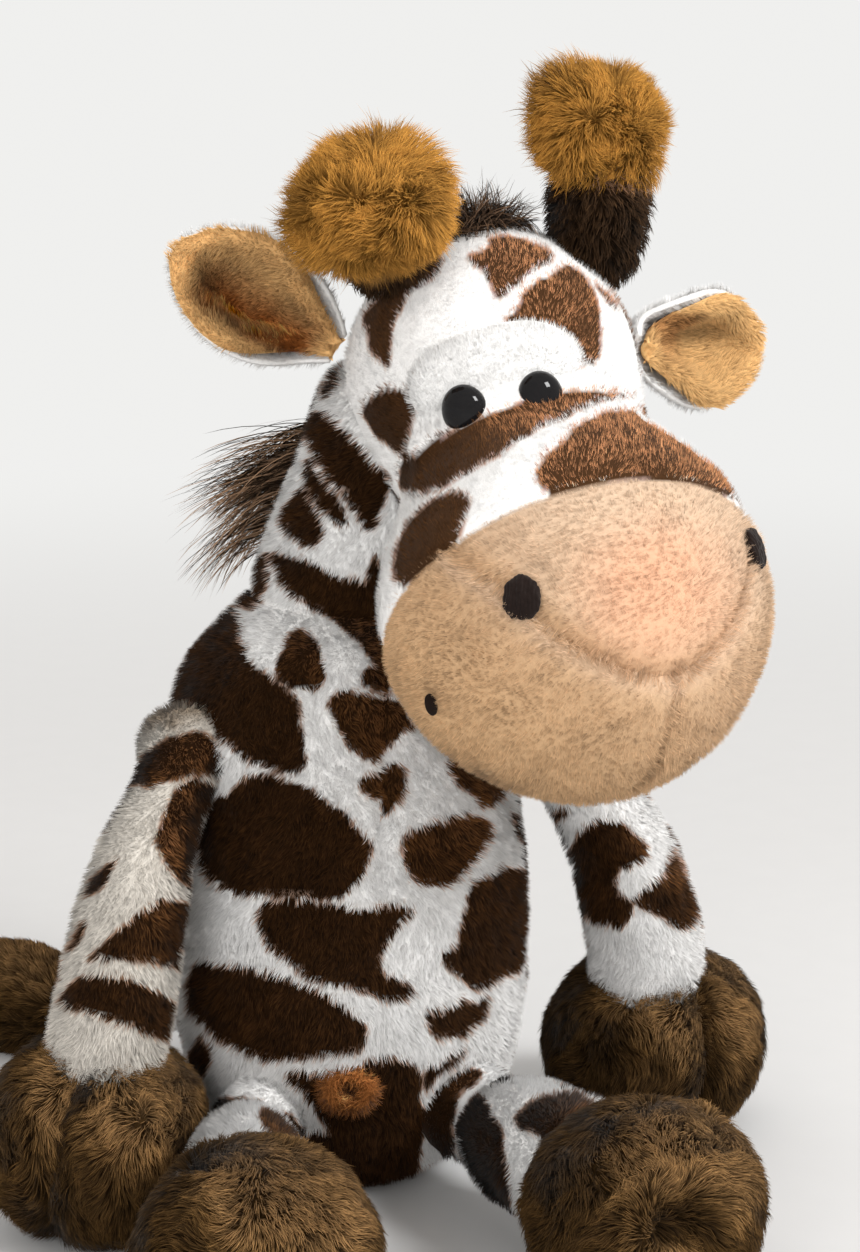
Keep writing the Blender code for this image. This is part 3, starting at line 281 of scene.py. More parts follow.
def torso_rows():
    rows = []
    for height, x_share, y_share, wide, deep in TORSO_SHARES:
        level = height * TORSO_HEIGHT - PRESS_DEPTH * (1 - height)
        centre = (x_share * TORSO_HALF_WIDTH, y_share * TORSO_HALF_DEPTH, level)
        rows.append(station(centre, wide * TORSO_HALF_WIDTH, deep * TORSO_HALF_DEPTH))
    cage_radius = NECK_DOME_RADIUS * smoothing_loss(math.radians(DOME_ANGLES[0] - DOME_ANGLES[1]))
    for degrees in DOME_ANGLES:
        angle = math.radians(degrees)
        half = NECK_DOME_RADIUS * math.sin(angle)
        rows.append(station(NECK_PIVOT + UP * (cage_radius * math.cos(angle)), half, half))
    return rows


NECK_PIVOT = Vector((DOME_MIDDLE_SHARES[0] * TORSO_HALF_WIDTH, DOME_MIDDLE_SHARES[1] * TORSO_HALF_DEPTH,
                     TORSO_HEIGHT - NECK_DOME_RADIUS))
TORSO = torso_rows()
TORSO_TOP = NECK_PIVOT + UP * NECK_DOME_RADIUS


def torso_at(height):
    """The torso's middle and half sizes at a height."""
    for low, high in zip(TORSO[1:], TORSO[2:]):
        if low["at"].z <= height <= high["at"].z and high["at"].z > low["at"].z:
            share = (height - low["at"].z) / (high["at"].z - low["at"].z)
            centre = low["at"].lerp(high["at"], share)
            wide = low["wide"] + (high["wide"] - low["wide"]) * share
            deep = low["deep"] + (high["deep"] - low["deep"]) * share
            return centre, wide, deep
    return TORSO[1]["at"], TORSO[1]["wide"], TORSO[1]["deep"]


def torso_surface(height, turn, proud=0.0):
    centre, wide, deep = torso_at(height)
    return centre + Vector(((wide + proud) * math.cos(turn), (deep + proud) * math.sin(turn), 0))


# Where the neck, head and limbs stand

NECK_ROOT = Vector((TORSO_TOP.x, TORSO_TOP.y + NECK_SET_BACK, TORSO_TOP.z - NECK_OVERLAP))
NECK_TOP = NECK_ROOT + Vector((NECK_LEAN, 0, NECK_RISE))
CRANIUM = NECK_TOP + Vector((CRANIUM_SIDE, -CRANIUM_FORWARD, CRANIUM_RISE))
MUZZLE = CRANIUM + Vector((MUZZLE_SIDE, -MUZZLE_FORWARD, -MUZZLE_DROP))
CRANIUM_FRAME = facing_frame(CRANIUM_YAW, CRANIUM_ROLL)
FACE_FRAME = facing_frame(FACE_YAW, FACE_ROLL)
MUZZLE_FRAME = facing_frame(MUZZLE_YAW, MUZZLE_ROLL)


def head_rows():
    """Cranium, waist and muzzle as one form along the line from the cranium to the muzzle."""
    axis = (MUZZLE - CRANIUM).normalized()
    span = (MUZZLE - CRANIUM).length
    rows = []
    for share, girth in HEAD_SHARES[:4]:
        rows.append((share * CRANIUM_RADIUS, girth * CRANIUM_RADIUS))
    waist_at = (span * span + CRANIUM_RADIUS ** 2 - MUZZLE_RADIUS ** 2) / (2 * span)
    rows.append((waist_at * WAIST_SHARES[0], CRANIUM_RADIUS * WAIST_SHARES[1]))
    rows.append((waist_at, WAIST_RADIUS))
    for share in MUZZLE_BACK_SHARES:
        rows.append((span + share * MUZZLE_RADIUS, MUZZLE_RADIUS * math.sqrt(1 - share * share)))
    for share, girth in HEAD_SHARES[3:]:
        rows.append((span + share * MUZZLE_RADIUS, girth * MUZZLE_RADIUS))
    return [station(CRANIUM + axis * along, girth, girth) for along, girth in rows]


HEAD = head_rows()


def neck_rows():
    rows = []
    for share, girth in NECK_SHARES:
        rows.append(station(NECK_ROOT.lerp(NECK_TOP, share), girth * NECK_RADIUS, girth * NECK_RADIUS))
    return rows


NECK = neck_rows()


def bowed_path(start, end, bow):
    points = []
    for number in range(PATH_STEPS + 1):
        share = number / PATH_STEPS
        lift = math.sin(math.pi * share ** BOW_SHARE)
        points.append(start.lerp(end, share) + Vector((bow[0], bow[1], 0)) * lift)
    return points


def path_point(points, share):
    place_at = min(max(share, 0.0), 1.0) * (len(points) - 1)
    low = min(int(place_at), len(points) - 2)
    return points[low].lerp(points[low + 1], place_at - low)


def limb_rows(path, root_radius, radius):
    first = (path[1] - path[0]).normalized()
    rows = []
    for share, girth in ROOT_SHARES:
        rows.append(station(path[0] + first * (share * root_radius), girth * root_radius, girth * root_radius))
    for share, girth in LIMB_SHARES:
        girth_here = girth * radius
        rows.append(station(path_point(path, share), girth_here, girth_here))
    last = path[-1] - path[-2]
    rows.append(station(path[-1] + last.normalized() * root_radius / 2, 0, 0))
    return rows


def hoof_rows(centre, half_width, half_length, half_height, heading):
    """A rounded hoof whose spine is level and points where the toe points."""
    rows = []
    for share, girth in HOOF_SHARES:
        rows.append(station(centre + heading * (share * half_length), girth * half_width, girth * half_height))
    return rows


def level_heading(start, end):
    step = Vector((end[0] - start[0], end[1] - start[1], 0))
    return step.normalized()


# Camera, as the photograph was taken: the object's middle is AIM, seen from slightly above
FRAME_WIDE = 860
FRAME_HIGH = 1252
AIM = (0.022, 0.0, 0.1785)
CAMERA_RISE = math.radians(12)
CAMERA_REACH = 0.90
PIXEL = 0.000314             # metres a pixel at the aim
FOCAL_PIXELS = CAMERA_REACH / PIXEL
SENSOR = 36.0

LOOK = np.array((0, math.cos(CAMERA_RISE), -math.sin(CAMERA_RISE)))
LOOK_UP = np.array((0, math.sin(CAMERA_RISE), math.cos(CAMERA_RISE)))
LOOK_RIGHT = np.array((1.0, 0, 0))
EYE_AT = np.array(AIM) - CAMERA_REACH * LOOK

# Pile: strand length, width at the root, strands a square metre, lean, and how far the comb wanders
COAT_PILE = {"length": 0.0038, "width": 0.00040, "density": 3.3e6, "lean": 0.95, "wander": 0.7}
TAN_PILE = {"length": 0.0042, "width": 0.00040, "density": 3.6e6, "lean": 0.9, "wander": 1.4}
STALK_PILE = {"length": 0.0055, "width": 0.00042, "density": 2.6e6, "lean": 0.9, "wander": 0.6}
HOOF_PILE = {"length": 0.0074, "width": 0.00038, "density": 4.2e6, "lean": 1.15, "wander": 0.8, "lit": 0.55}
EAR_PILE = {"length": 0.0030, "width": 0.00034, "density": 3.4e6, "lean": 1.2, "wander": 0.5}
LINING_PILE = {"length": 0.0036, "width": 0.00036, "density": 4.6e6, "lean": 0.85, "wander": 0.7}
POMPOM_PILE = {"length": 0.0115, "width": 0.00030, "density": 9.0e6, "lean": 0.40, "wander": 0.5}
BROW_PILE = {"length": 0.0024, "width": 0.00036, "density": 5.5e6, "lean": 0.9, "wander": 0.4, "tufts": 0.3}

COAT_SINK = 0.0012           # how far a skin is drawn in under its pile
HOOF_SINK = {"arm": 0.0022, "leg": 0.0042}
POMPOM_SINK = 0.0055
HOOF_CLUMP = (0.0030, 0.42)
POMPOM_CLUMP = (0.0030, 0.40)
PALE_ROOTS = 0.40            # pale strands stay pale down to their roots
ROOT_SHADE = 0.22            # and dark ones are darker there
TIP_SHINE = 0.7              # how much a dark strand lightens towards its tip
TIP_SHINE_LIT = 1.3          # and how much more on the sides that face the key lamp: painted highlight
# painted light: roughly the way towards the key lamp; pile and plush that face it are painted lighter
KEY_LIGHT_TOWARDS = np.array((0.38, -0.45, 0.81))
SEAM_SAG = (0.0055, -0.0040, 0.0)
COAT_CLUMP = (0.0028, 0.35)
POMPOM_BIAS = (0.22, -0.40, 0.35)
NOSTRIL_THREAD = (0.012, 0.0065, 0.005)
BLUSH = (0.70, 0.36, 0.215)
LOCK_STRANDS = 26            # strands that hang together in a lock of hair
SWELL = 0.0055               # how far the shoulder bulges, and at what height
SWELL_HEIGHT = 0.156
FOLD = 0.0058                # the bridge's fold under the eyes: height, width and place
FOLD_WIDTH = 0.0048
FOLD_DROP = math.radians(13.0)
VALLEY = 0.0085              # depth of the fold along an ear, its place, and the lip beside it
VALLEY_PLACE = -0.36
ROLL_FALL = 0.0075
# painted shade in an ear's valley: where along the ear it ends, and how strongly it is painted
VALLEY_SHADE_END = {"r": 0.74, "l": 0.36}
VALLEY_SHADE_SHARE = {"r": 0.97, "l": 0.60}
SIDES = (("r", -1), ("l", 1))    # the giraffe's right and left, and the sign of their way across
PANEL_WALL = 0.0015              # thickness of the head's cloth
HOOF_PILE_HEIGHT = 0.002         # a hoof's pile starts this far above the floor
CLEFT_LEAN = (0.16, 0, 1.0)      # the way a front hoof's cleft runs up
POMPOM_FIT = {"r": ((1.02, 0.95, 0.86), (0.0012, 0, -0.0034), 1.0),
              "l": ((0.80, 0.85, 0.80), (-0.0014, 0, 0.0024), 0.92)}
FRONT_SEAM = 381             # where the torso's seam runs, across the frame
RIM_ROLL = 0.0038            # the rolled rim round an ear's lining

WHITE = (0.84, 0.833, 0.82)
ARM_SHADE_WHITE = (0.66, 0.62, 0.56)     # painted shade: the white of the arm that the light leaves, and of the plush on top of its shoulder
# painted shade over a darker beige tone, towards the top of that shoulder
CAP = (0.34, 0.27, 0.20)
CAP_PIXELS = (706, 742)
BROWN = (0.0225, 0.0092, 0.0026)
TAN = (0.53, 0.345, 0.205)
# painted highlight: the paler tan of the snout where it faces the key lamp
LIT_TAN = (0.64, 0.495, 0.375)
GOLD = (0.62, 0.30, 0.060)
STALK = (0.031, 0.0160, 0.0070)
HOOF = (0.044, 0.0232, 0.0072)
LINING = (0.80, 0.485, 0.205)
LOBES = {"r": (((-0.9, -0.3, -0.25), 0.0030, 0.5), ((0.75, -0.3, 0.55), 0.0025, 0.5),
               ((-0.2, -0.2, 0.9), 0.002, 0.4)),
         "l": (((0.85, -0.4, -0.65), 0.0055, 0.45), ((0.72, -0.2, 0.75), 0.0040, 0.4),
               ((-0.55, -0.2, 0.85), 0.0036, 0.5))}   # which way a pompom bulges, how far and how widely
MANE_HAIR = (0.15, 0.092, 0.055)
FORELOCK_HAIR = (0.075, 0.044, 0.026)
FRINGE = (0.33, 0.155, 0.070)
FRINGE_SHARE = 0.7
# painted shade in an ear's valley
LINING_SHADE = (0.20, 0.055, 0.009)
NAVEL_RUST = (0.33, 0.125, 0.035)


# Places

def pixels(points):
    """Where points fall in the photograph's frame."""
    away = points - EYE_AT
    depth = away @ LOOK
    across = FRAME_WIDE / 2 + FOCAL_PIXELS * (away @ LOOK_RIGHT) / depth
    down = FRAME_HIGH / 2 - FOCAL_PIXELS * (away @ LOOK_UP) / depth
    return np.stack([across, down], -1)


def unit(vectors):
    return vectors / np.maximum(np.linalg.norm(vectors, axis=-1, keepdims=True), 1e-12)


def dot(a, b):
    return (a * b).sum(-1)


NOISE_TABLE = np.random.default_rng(7).uniform(-1, 1, 65536)


def noise(points, size, seed=0):
    """Smooth noise between -1 and 1 with features of the given size."""
    spot = np.asarray(points) / size + 100.5 + seed * 17.3
    cell = np.floor(spot).astype(np.int64)
    part = spot - cell
    part = part * part * (3 - 2 * part)
    total = np.zeros(spot.shape[:-1])
    for dx in (0, 1):
        for dy in (0, 1):
            for dz in (0, 1):
                key = (cell[..., 0] + dx) * 73856093 ^ (cell[..., 1] + dy) * 19349663 ^ (cell[..., 2] + dz) * 83492791
                weight = (np.where(dx, part[..., 0], 1 - part[..., 0]) * np.where(dy, part[..., 1], 1 - part[..., 1])
                          * np.where(dz, part[..., 2], 1 - part[..., 2]))
                total += weight * NOISE_TABLE[key & 65535]
    return total


def smoothstep(low, high, value):
    share = np.clip((value - low) / (high - low), 0, 1)
    return share * share * (3 - 2 * share)


# Surfaces: a grid of points on the smooth form that a row of stations gives

def ring_grid(rows, lateral, around):
    turns = np.linspace(0, 2 * np.pi, around, endpoint=False)
    grid = np.zeros((len(rows), around, 3))
    for index, row in enumerate(rows):
        grid[index] = np.array(row["at"])
        if row["wide"] > 0:
            along = tangent(rows, index)
            deep = along.cross(lateral).normalized()
            wide = deep.cross(along).normalized()
            grid[index] += np.outer(np.cos(turns), np.array(wide)) * row["wide"]
            grid[index] += np.outer(np.sin(turns), np.array(deep)) * row["deep"]
    return grid


def spline_grid(grid, spacing):
    half = grid.shape[1] // 2
    before = np.roll(grid[1:2], half, 1)
    after = np.roll(grid[-2:-1], half, 1)
    padded = np.concatenate([before, grid, after])
    out = []
    for index in range(len(grid) - 1):
        a, b, c, d = padded[index:index + 4]
        steps = max(2, int(round(np.linalg.norm(c - b, axis=1).max() / spacing)))
        for step in range(steps):
            t = step / steps
            out.append(((1 - t) ** 3 * a + (3 * t ** 3 - 6 * t ** 2 + 4) * b
                        + (-3 * t ** 3 + 3 * t ** 2 + 3 * t + 1) * c + t ** 3 * d) / 6)
    out.append((padded[-3] + 4 * padded[-2] + padded[-1]) / 6)
    return np.array(out)


def grid_normals(points):
    """Outward normals and the direction along the rows."""
    along = np.gradient(points, axis=0)
    across = np.roll(points, -1, 1) - np.roll(points, 1, 1)
    normals = unit(np.cross(across, along))
    centre = points.mean(axis=1, keepdims=True)
    if dot(points - centre, normals).mean() < 0:
        normals = -normals
    normals[0] = unit(normals[1].mean(axis=0))
    normals[-1] = unit(normals[-2].mean(axis=0))
    return normals, unit(along)


def surface(rows, lateral, spacing=0.0018, around=None):
    girth = max(row["wide"] for row in rows) * 2 * math.pi
    around = around or max(24, 2 * int(girth / spacing / 2))
    points = spline_grid(ring_grid(rows, lateral, around), spacing)
    normals, along = grid_normals(points)
    return {"points": points, "normals": normals, "along": along, "lateral": np.array(lateral)}


def push(skin, amount):
    """Moves the surface along its normals, in metres for each point."""
    skin["points"] = skin["points"] + skin["normals"] * amount[..., None]
    skin["normals"], skin["along"] = grid_normals(skin["points"])


def lumps(skin, depth, size, seed):
    amount = noise(skin["points"], size, seed) * depth + noise(skin["points"], size * 0.45, seed + 5) * depth * 0.4
    push(skin, amount)


# Meshes

def new_mesh(name, points, faces, material, colours=None, smooth=True):
    mesh = bpy.data.meshes.new(name)
    mesh.from_pydata([tuple(p) for p in points], [], faces)
    if colours is not None:
        layer = mesh.color_attributes.new("tint", "FLOAT_COLOR", "POINT")
        values = np.ones((len(points), 4), np.float32)
        values[:, :3] = colours
        layer.data.foreach_set("color", values.ravel())
    mesh.update()
    if smooth:
        mesh.shade_smooth()
    obj = bpy.data.objects.new(name, mesh)
    bpy.context.scene.collection.objects.link(obj)
    mesh.materials.append(material)
    return obj


def skin_mesh(name, skin, material, colours, keep=None):
    """The surface as quads. Its ends close in a point. keep picks the quads of one panel."""
    points = skin["points"]
    rows, around = points.shape[:2]
    flat = points.reshape(-1, 3)
    shade = colours.reshape(-1, 3)
    faces = []
    for row in range(rows - 1):
        for side in range(around):
            if keep is not None and not keep[row, side]:
                continue
            nxt = (side + 1) % around
            a, b = row * around + side, row * around + nxt
            c, d = a + around, b + around
            if row == 0:
                faces.append((0, c, d))
            elif row == rows - 2:
                faces.append((a, (rows - 1) * around, b))
            else:
                faces.append((a, c, d, b))
    used = np.unique(np.concatenate([np.array(f) for f in faces]))
    index = np.full(len(flat), -1)
    index[used] = np.arange(len(used))
    faces = [tuple(int(index[v]) for v in f) for f in faces]
    obj = new_mesh(name, flat[used], faces, material, shade[used])
    return obj


def sample(skin, density, rng, keep=None):
    """Random roots, spread evenly over the surface: place, normal, along, and the grid's own place."""
    points = skin["points"]
    nxt = np.roll(points, -1, 1)
    a, b, c, d = points[:-1], nxt[:-1], points[1:], nxt[1:]
    area = (np.linalg.norm(np.cross(b - a, c - a), axis=-1) + np.linalg.norm(np.cross(b - d, c - d), axis=-1)) / 2
    if keep is not None:
        area = area * keep
    total = area.sum()
    count = int(total * density)
    cells = rng.choice(area.size, count, p=(area / total).ravel())
    row, side = cells // area.shape[1], cells % area.shape[1]
    u, v = rng.random(count)[:, None], rng.random(count)[:, None]
    other = (side + 1) % area.shape[1]

    def mixed(values):
        low = values[row, side] * (1 - v) + values[row, other] * v
        high = values[row + 1, side] * (1 - v) + values[row + 1, other] * v
        return low * (1 - u) + high * u

    normals = unit(mixed(skin["normals"]))
    along = mixed(skin["along"])
    along = unit(along - normals * dot(along, normals)[:, None])
    return {"points": mixed(points), "normals": normals, "along": along, "row": row, "side": side}


def pick(roots, chosen):
    return {key: value[chosen] for key, value in roots.items()}


def strand_mesh(name, spines, sides, widths, shade, colours, material):
    """Tapered blades along the spines: (strands, levels, 3). The last level is the tip."""
    count, levels = spines.shape[:2]
    taper = np.linspace(1, 0.35, levels)[:-1]
    rails = sides[:, None] * (widths[:, None] * taper[None] / 2)[..., None]
    left, right = spines[:, :-1] - rails, spines[:, :-1] + rails
    per = 2 * (levels - 1) + 1
    points = np.zeros((count, per, 3), np.float32)
    points[:, 0:-1:2] = left
    points[:, 1:-1:2] = right
    points[:, -1] = spines[:, -1]
    tints = np.ones((count, per, 4), np.float32)
    tints[:, 0:-1:2, :3] = colours[:, :-1]
    tints[:, 1:-1:2, :3] = colours[:, :-1]
    tints[:, -1, :3] = colours[:, -1]
    base = (np.arange(count) * per)[:, None]
    loops, sizes = [], []
    pattern = []
    for level in range(levels - 2):
        low = 2 * level
        pattern.append((low, low + 1, low + 3, low + 2))
    low = 2 * (levels - 2)
    pattern.append((low, low + 1, low + 2))
    order = np.concatenate([np.array(p) for p in pattern])
    loops = (base + order[None]).ravel().astype(np.int32)
    sizes = np.tile(np.array([len(p) for p in pattern], np.int32), count)
    starts = np.concatenate([[0], np.cumsum(sizes)[:-1]]).astype(np.int32)
    mesh = bpy.data.meshes.new(name)
    mesh.vertices.add(count * per)
    mesh.vertices.foreach_set("co", points.ravel())
    mesh.loops.add(len(loops))
    mesh.loops.foreach_set("vertex_index", loops)
    mesh.polygons.add(len(sizes))
    mesh.polygons.foreach_set("loop_start", starts)
    mesh.polygons.foreach_set("loop_total", sizes)
    layer = mesh.color_attributes.new("tint", "FLOAT_COLOR", "POINT")
    layer.data.foreach_set("color", tints.ravel())
    mesh.update(calc_edges=True)
    mesh.shade_smooth()
    mesh.normals_split_custom_set_from_vertices(np.repeat(shade, per, axis=0).astype(np.float32))
    mesh.materials.append(material)
    obj = bpy.data.objects.new(name, mesh)
    bpy.context.scene.collection.objects.link(obj)
    return obj


MOST_STRANDS = 180000
THROUGH = 0.12               # how much light comes through a strand
# painted highlight: the paler hue of a dark pile where it faces the key lamp
LIT_HUE = np.array((1.0, 1.07, 1.38))
HEAD_BROWN_LIGHT = 1.3            # painted light: how much lighter the head's brown plush is than the torso's, where it faces the key lamp
PALE_KEEP = 0.86             # how much of the form's own normal a pale strand is shaded with, and a dark one
DARK_KEEP = 0.36
LIT_SIDE = 2.6               # painted highlight: how much lighter a dark pile is as a whole on the sides that face the key lamp
STREAK = 0.20                # how much the tufts of a coloured pile differ in brightness
TUCK = 0.34                  # how far the seat is drawn in at the floor, and from what height
TUCK_HEIGHT = 0.026
DIMPLE = 0.0020              # how deep a mouth corner's stitch pulls the plush in, and how widely
DIMPLE_WIDTH = 0.0055
STITCH_LIFT = math.radians(5.0)
STITCH_PULLED = 0.0007
TUFT_TURN = 0.9              # how far neighbouring tufts point away from each other
BLADE_ROLL = 0.9             # how far a blade's flat side turns away from facing outwards


def grow(name, body, roots, comb, pile, tint, material, rng, levels=2, clump=None, droop=0.0, root_dark=0.58,
         lengths=None, bias=0.0):
    """Grows a pile from the roots, in pieces that are small enough to be kept whole."""
    count = len(roots["points"])
    normals = roots["normals"]
    turn = noise(roots["points"], 0.013, 3) * pile["wander"] + rng.normal(0, 0.16, count)
    turn += noise(roots["points"], 0.0036, 6) * TUFT_TURN * pile.get("tufts", 1)
    across = np.cross(normals, comb)
    comb = comb * np.cos(turn)[:, None] + across * np.sin(turn)[:, None]
    stray = rng.normal(0, 0.16, (count, 3))
    lean = pile["lean"] * (1 + 0.25 * noise(roots["points"], 0.006, 9) + 0.35 * noise(roots["points"], 0.0030, 12))
    smooth = unit(normals + comb * lean[:, None])
    way = unit(normals + comb * lean[:, None] + stray)
    long = pile["length"] * rng.uniform(0.72, 1.12, count) * (1 + 0.12 * noise(roots["points"], 0.008, 21))
    if lengths is not None:
        long = long * lengths
    tips = roots["points"] + way * long[:, None]
    tips[:, 2] -= droop * long
    tuft = 0.0
    if clump:
        tips, tuft = clumped(roots["points"], tips, clump, rng)
    steps = np.linspace(0, 1, levels)
    spines = []
    for step in steps:
        straight = roots["points"] * (1 - step) + tips * step
        lift = normals * (long * 0.22 * math.sin(math.pi * step))[:, None] if levels > 2 else 0
        spines.append(straight + lift)
    spines = np.stack(spines, 1)
    spines[:, 0] -= normals * 0.0004
    spines[..., 2] = np.maximum(spines[..., 2], 0.0002)
    level = unit(np.cross(way, normals) + 1e-9)
    roll = rng.normal(0, BLADE_ROLL, count)[:, None]
    side = level * np.cos(roll) + np.cross(way, level) * np.sin(roll)
    dark = 1 - tint.max(axis=1)
    bright = (1 + np.clip(rng.normal(0, 1, count), -1.3, 1.6) * (0.02 + 0.36 * dark)
              + (0.03 + 0.20 * dark) * noise(roots["points"], 0.006, 31))
    bright += STREAK * smoothstep(0.2, 0.6, dark) * tuft
    bright = np.maximum(bright, 0.3)
    # painted shade: a strand darkens towards its root, where the pile shades itself; pale strands less so
    low = np.minimum(root_dark - ROOT_SHADE * dark + PALE_ROOTS * (1 - dark), 1)
    # painted highlight: a dark pile is lighter and paler, and its tips brighter, where it faces the key lamp
    lit = smoothstep(0.52, 0.90, normals @ KEY_LIGHT_TOWARDS)
    bright = bright * (1 + LIT_SIDE * pile.get("lit", 1) * lit * smoothstep(0.6, 0.95, dark))
    top = 1 + (TIP_SHINE + TIP_SHINE_LIT * lit) * smoothstep(0.45, 0.95, dark) + 0.5 * dark
    tint = tint * LIT_HUE ** (lit * smoothstep(0.6, 0.95, dark))[:, None]
    shades = np.stack([tint * (bright * (low + (top - low) * step ** 1.5))[:, None] for step in steps], 1)
    own = unit(normals - smooth * dot(normals, smooth)[:, None])
    keep = (PALE_KEEP + (DARK_KEEP - PALE_KEEP) * smoothstep(0.1, 0.95, dark))[:, None]
    shade = unit(normals * keep + own * (1 - keep) + bias)
    pieces = max(1, math.ceil(count * (levels - 1) / MOST_STRANDS))
    made = []
    for number in range(pieces):
        part = slice(number, None, pieces)
        label = "%s_%d" % (name, number) if pieces > 1 else name
        piece = strand_mesh(label, spines[part], side[part], np.full(len(side[part]), pile["width"]), shade[part],
                            np.clip(shades[part], 0, 1), material)
        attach(piece, body)
        made.append(piece)
    return made


def clumped(roots, tips, clump, rng):
    """Draws the tips of neighbouring strands together into tufts."""
    size, share = clump
    spot = roots / size
    base = np.floor(spot - 0.5).astype(np.int64)
    first = np.full(len(roots), 9.0)
    tuft = np.zeros(len(roots), np.int64)
    for dx in (0, 1):
        for dy in (0, 1):
            for dz in (0, 1):
                near = base + (dx, dy, dz)
                key = near[:, 0] * 73856093 ^ near[:, 1] * 19349663 ^ near[:, 2] * 83492791
                place = np.stack([NOISE_TABLE[(key + 101 * k) & 65535] for k in range(3)], -1) * 0.45 + 0.5
                away = np.linalg.norm(spot - near - place, axis=1)
                closer = away < first
                tuft[closer] = key[closer]
                first[closer] = away[closer]
    _, index = np.unique(tuft, return_inverse=True)
    index = index.ravel()
    count = np.bincount(index)
    middle = np.stack([np.bincount(index, tips[:, k]) / count for k in range(3)], -1)
    pull = share * rng.uniform(0.5, 1.0, len(tips))
    pull = np.where(np.linalg.norm(middle[index] - tips, axis=1) < 3 * size, pull, 0)
    return tips * (1 - pull)[:, None] + middle[index] * pull[:, None], NOISE_TABLE[(tuft + 977) & 65535]


# Materials

def base_material(name, roughness, sheen=0.0, coat=0.0):
    material = bpy.data.materials.new(name)
    material.use_nodes = True
    shader = material.node_tree.nodes["Principled BSDF"]
    shader.inputs["Roughness"].default_value = roughness
    shader.inputs["Sheen Weight"].default_value = sheen
    shader.inputs["Sheen Roughness"].default_value = 0.5
    shader.inputs["Coat Weight"].default_value = coat
    shader.inputs["Specular IOR Level"].default_value = 0.07
    return material, material.node_tree, shader


def even_normals(tree, shader):
    """Shades both sides of a thin strand with the normal that its mesh carries."""
    face = tree.nodes.new("ShaderNodeNewGeometry")
    flip = tree.nodes.new("ShaderNodeMapRange")
    flip.inputs["To Min"].default_value = 1.0
    flip.inputs["To Max"].default_value = -1.0
    turned = tree.nodes.new("ShaderNodeVectorMath")
    turned.operation = "SCALE"
    tree.links.new(face.outputs["Backfacing"], flip.inputs["Value"])
    tree.links.new(face.outputs["Normal"], turned.inputs[0])
    tree.links.new(flip.outputs["Result"], turned.inputs["Scale"])
    tree.links.new(turned.outputs["Vector"], shader.inputs["Normal"])


def let_through(tree, shader):
    """Part of the light that falls on a thin strand's far side comes through."""
    glow = tree.nodes.new("ShaderNodeBsdfTranslucent")
    mix = tree.nodes.new("ShaderNodeMixShader")
    mix.inputs["Fac"].default_value = THROUGH
    for link in list(tree.links):
        if link.to_socket == shader.inputs["Base Color"]:
            tree.links.new(link.from_socket, glow.inputs["Color"])
        if link.to_socket == shader.inputs["Normal"]:
            tree.links.new(link.from_socket, glow.inputs["Normal"])
    tree.links.new(shader.outputs["BSDF"], mix.inputs[1])
    tree.links.new(glow.outputs["BSDF"], mix.inputs[2])
    tree.links.new(mix.outputs["Shader"], tree.nodes["Material Output"].inputs["Surface"])


def tinted_material(name, roughness, sheen, grain, grain_depth, bump_size, bump):
    """Takes its colour from the mesh's tint and breaks it up with fine procedural grain."""
    material, tree, shader = base_material(name, roughness, sheen)
    where = tree.nodes.new("ShaderNodeTexCoord")
    tint = tree.nodes.new("ShaderNodeAttribute")
    tint.attribute_name = "tint"
    fine = tree.nodes.new("ShaderNodeTexNoise")
    fine.inputs["Scale"].default_value = 1 / grain
    fine.inputs["Detail"].default_value = 3
    level = tree.nodes.new("ShaderNodeMapRange")
    level.inputs["From Min"].default_value = 0.3
    level.inputs["From Max"].default_value = 0.7
    level.inputs["To Min"].default_value = 1 - grain_depth
    level.inputs["To Max"].default_value = 1 + grain_depth
    mixer = tree.nodes.new("ShaderNodeVectorMath")
    mixer.operation = "SCALE"
    tree.links.new(where.outputs["Object"], fine.inputs["Vector"])
    tree.links.new(fine.outputs["Fac"], level.inputs["Value"])
    tree.links.new(tint.outputs["Color"], mixer.inputs[0])
    tree.links.new(level.outputs["Result"], mixer.inputs["Scale"])
    tree.links.new(mixer.outputs["Vector"], shader.inputs["Base Color"])
    if bump:
        rough = tree.nodes.new("ShaderNodeTexNoise")
        rough.inputs["Scale"].default_value = 1 / bump_size
        rough.inputs["Detail"].default_value = 4
        lift = tree.nodes.new("ShaderNodeBump")
        lift.inputs["Strength"].default_value = 0.6
        lift.inputs["Distance"].default_value = bump
        tree.links.new(where.outputs["Object"], rough.inputs["Vector"])
        tree.links.new(rough.outputs["Fac"], lift.inputs["Height"])
        tree.links.new(lift.outputs["Normal"], shader.inputs["Normal"])
    else:
        even_normals(tree, shader)
        let_through(tree, shader)
    return material


CLOTH = tinted_material("plush_backing", 0.95, 0.05, 0.0012, 0.06, 0.0006, 0.0003)
PILE = tinted_material("plush_pile", 0.75, 0.04, 0.0025, 0.10, 0, 0)
THREAD = tinted_material("embroidery_thread", 0.55, 0.1, 0.0005, 0.2, 0.0003, 0.0002)


def eye_material():
    material, tree, shader = base_material("eye_gloss", 0.05)
    where = tree.nodes.new("ShaderNodeTexCoord")
    haze = tree.nodes.new("ShaderNodeTexNoise")
    haze.inputs["Scale"].default_value = 900
    ramp = tree.nodes.new("ShaderNodeValToRGB")
    ramp.color_ramp.elements[0].color = (0.004, 0.004, 0.005, 1)
    ramp.color_ramp.elements[1].color = (0.009, 0.008, 0.008, 1)
    shader.inputs["Specular IOR Level"].default_value = 0.2
    tree.links.new(where.outputs["Object"], haze.inputs["Vector"])
    tree.links.new(haze.outputs["Fac"], ramp.inputs["Fac"])
    tree.links.new(ramp.outputs["Color"], shader.inputs["Base Color"])
    return material


EYE_GLOSS = eye_material()

# Patches of the print

SOFT_EDGE = 1.6              # pixels over which a patch fades


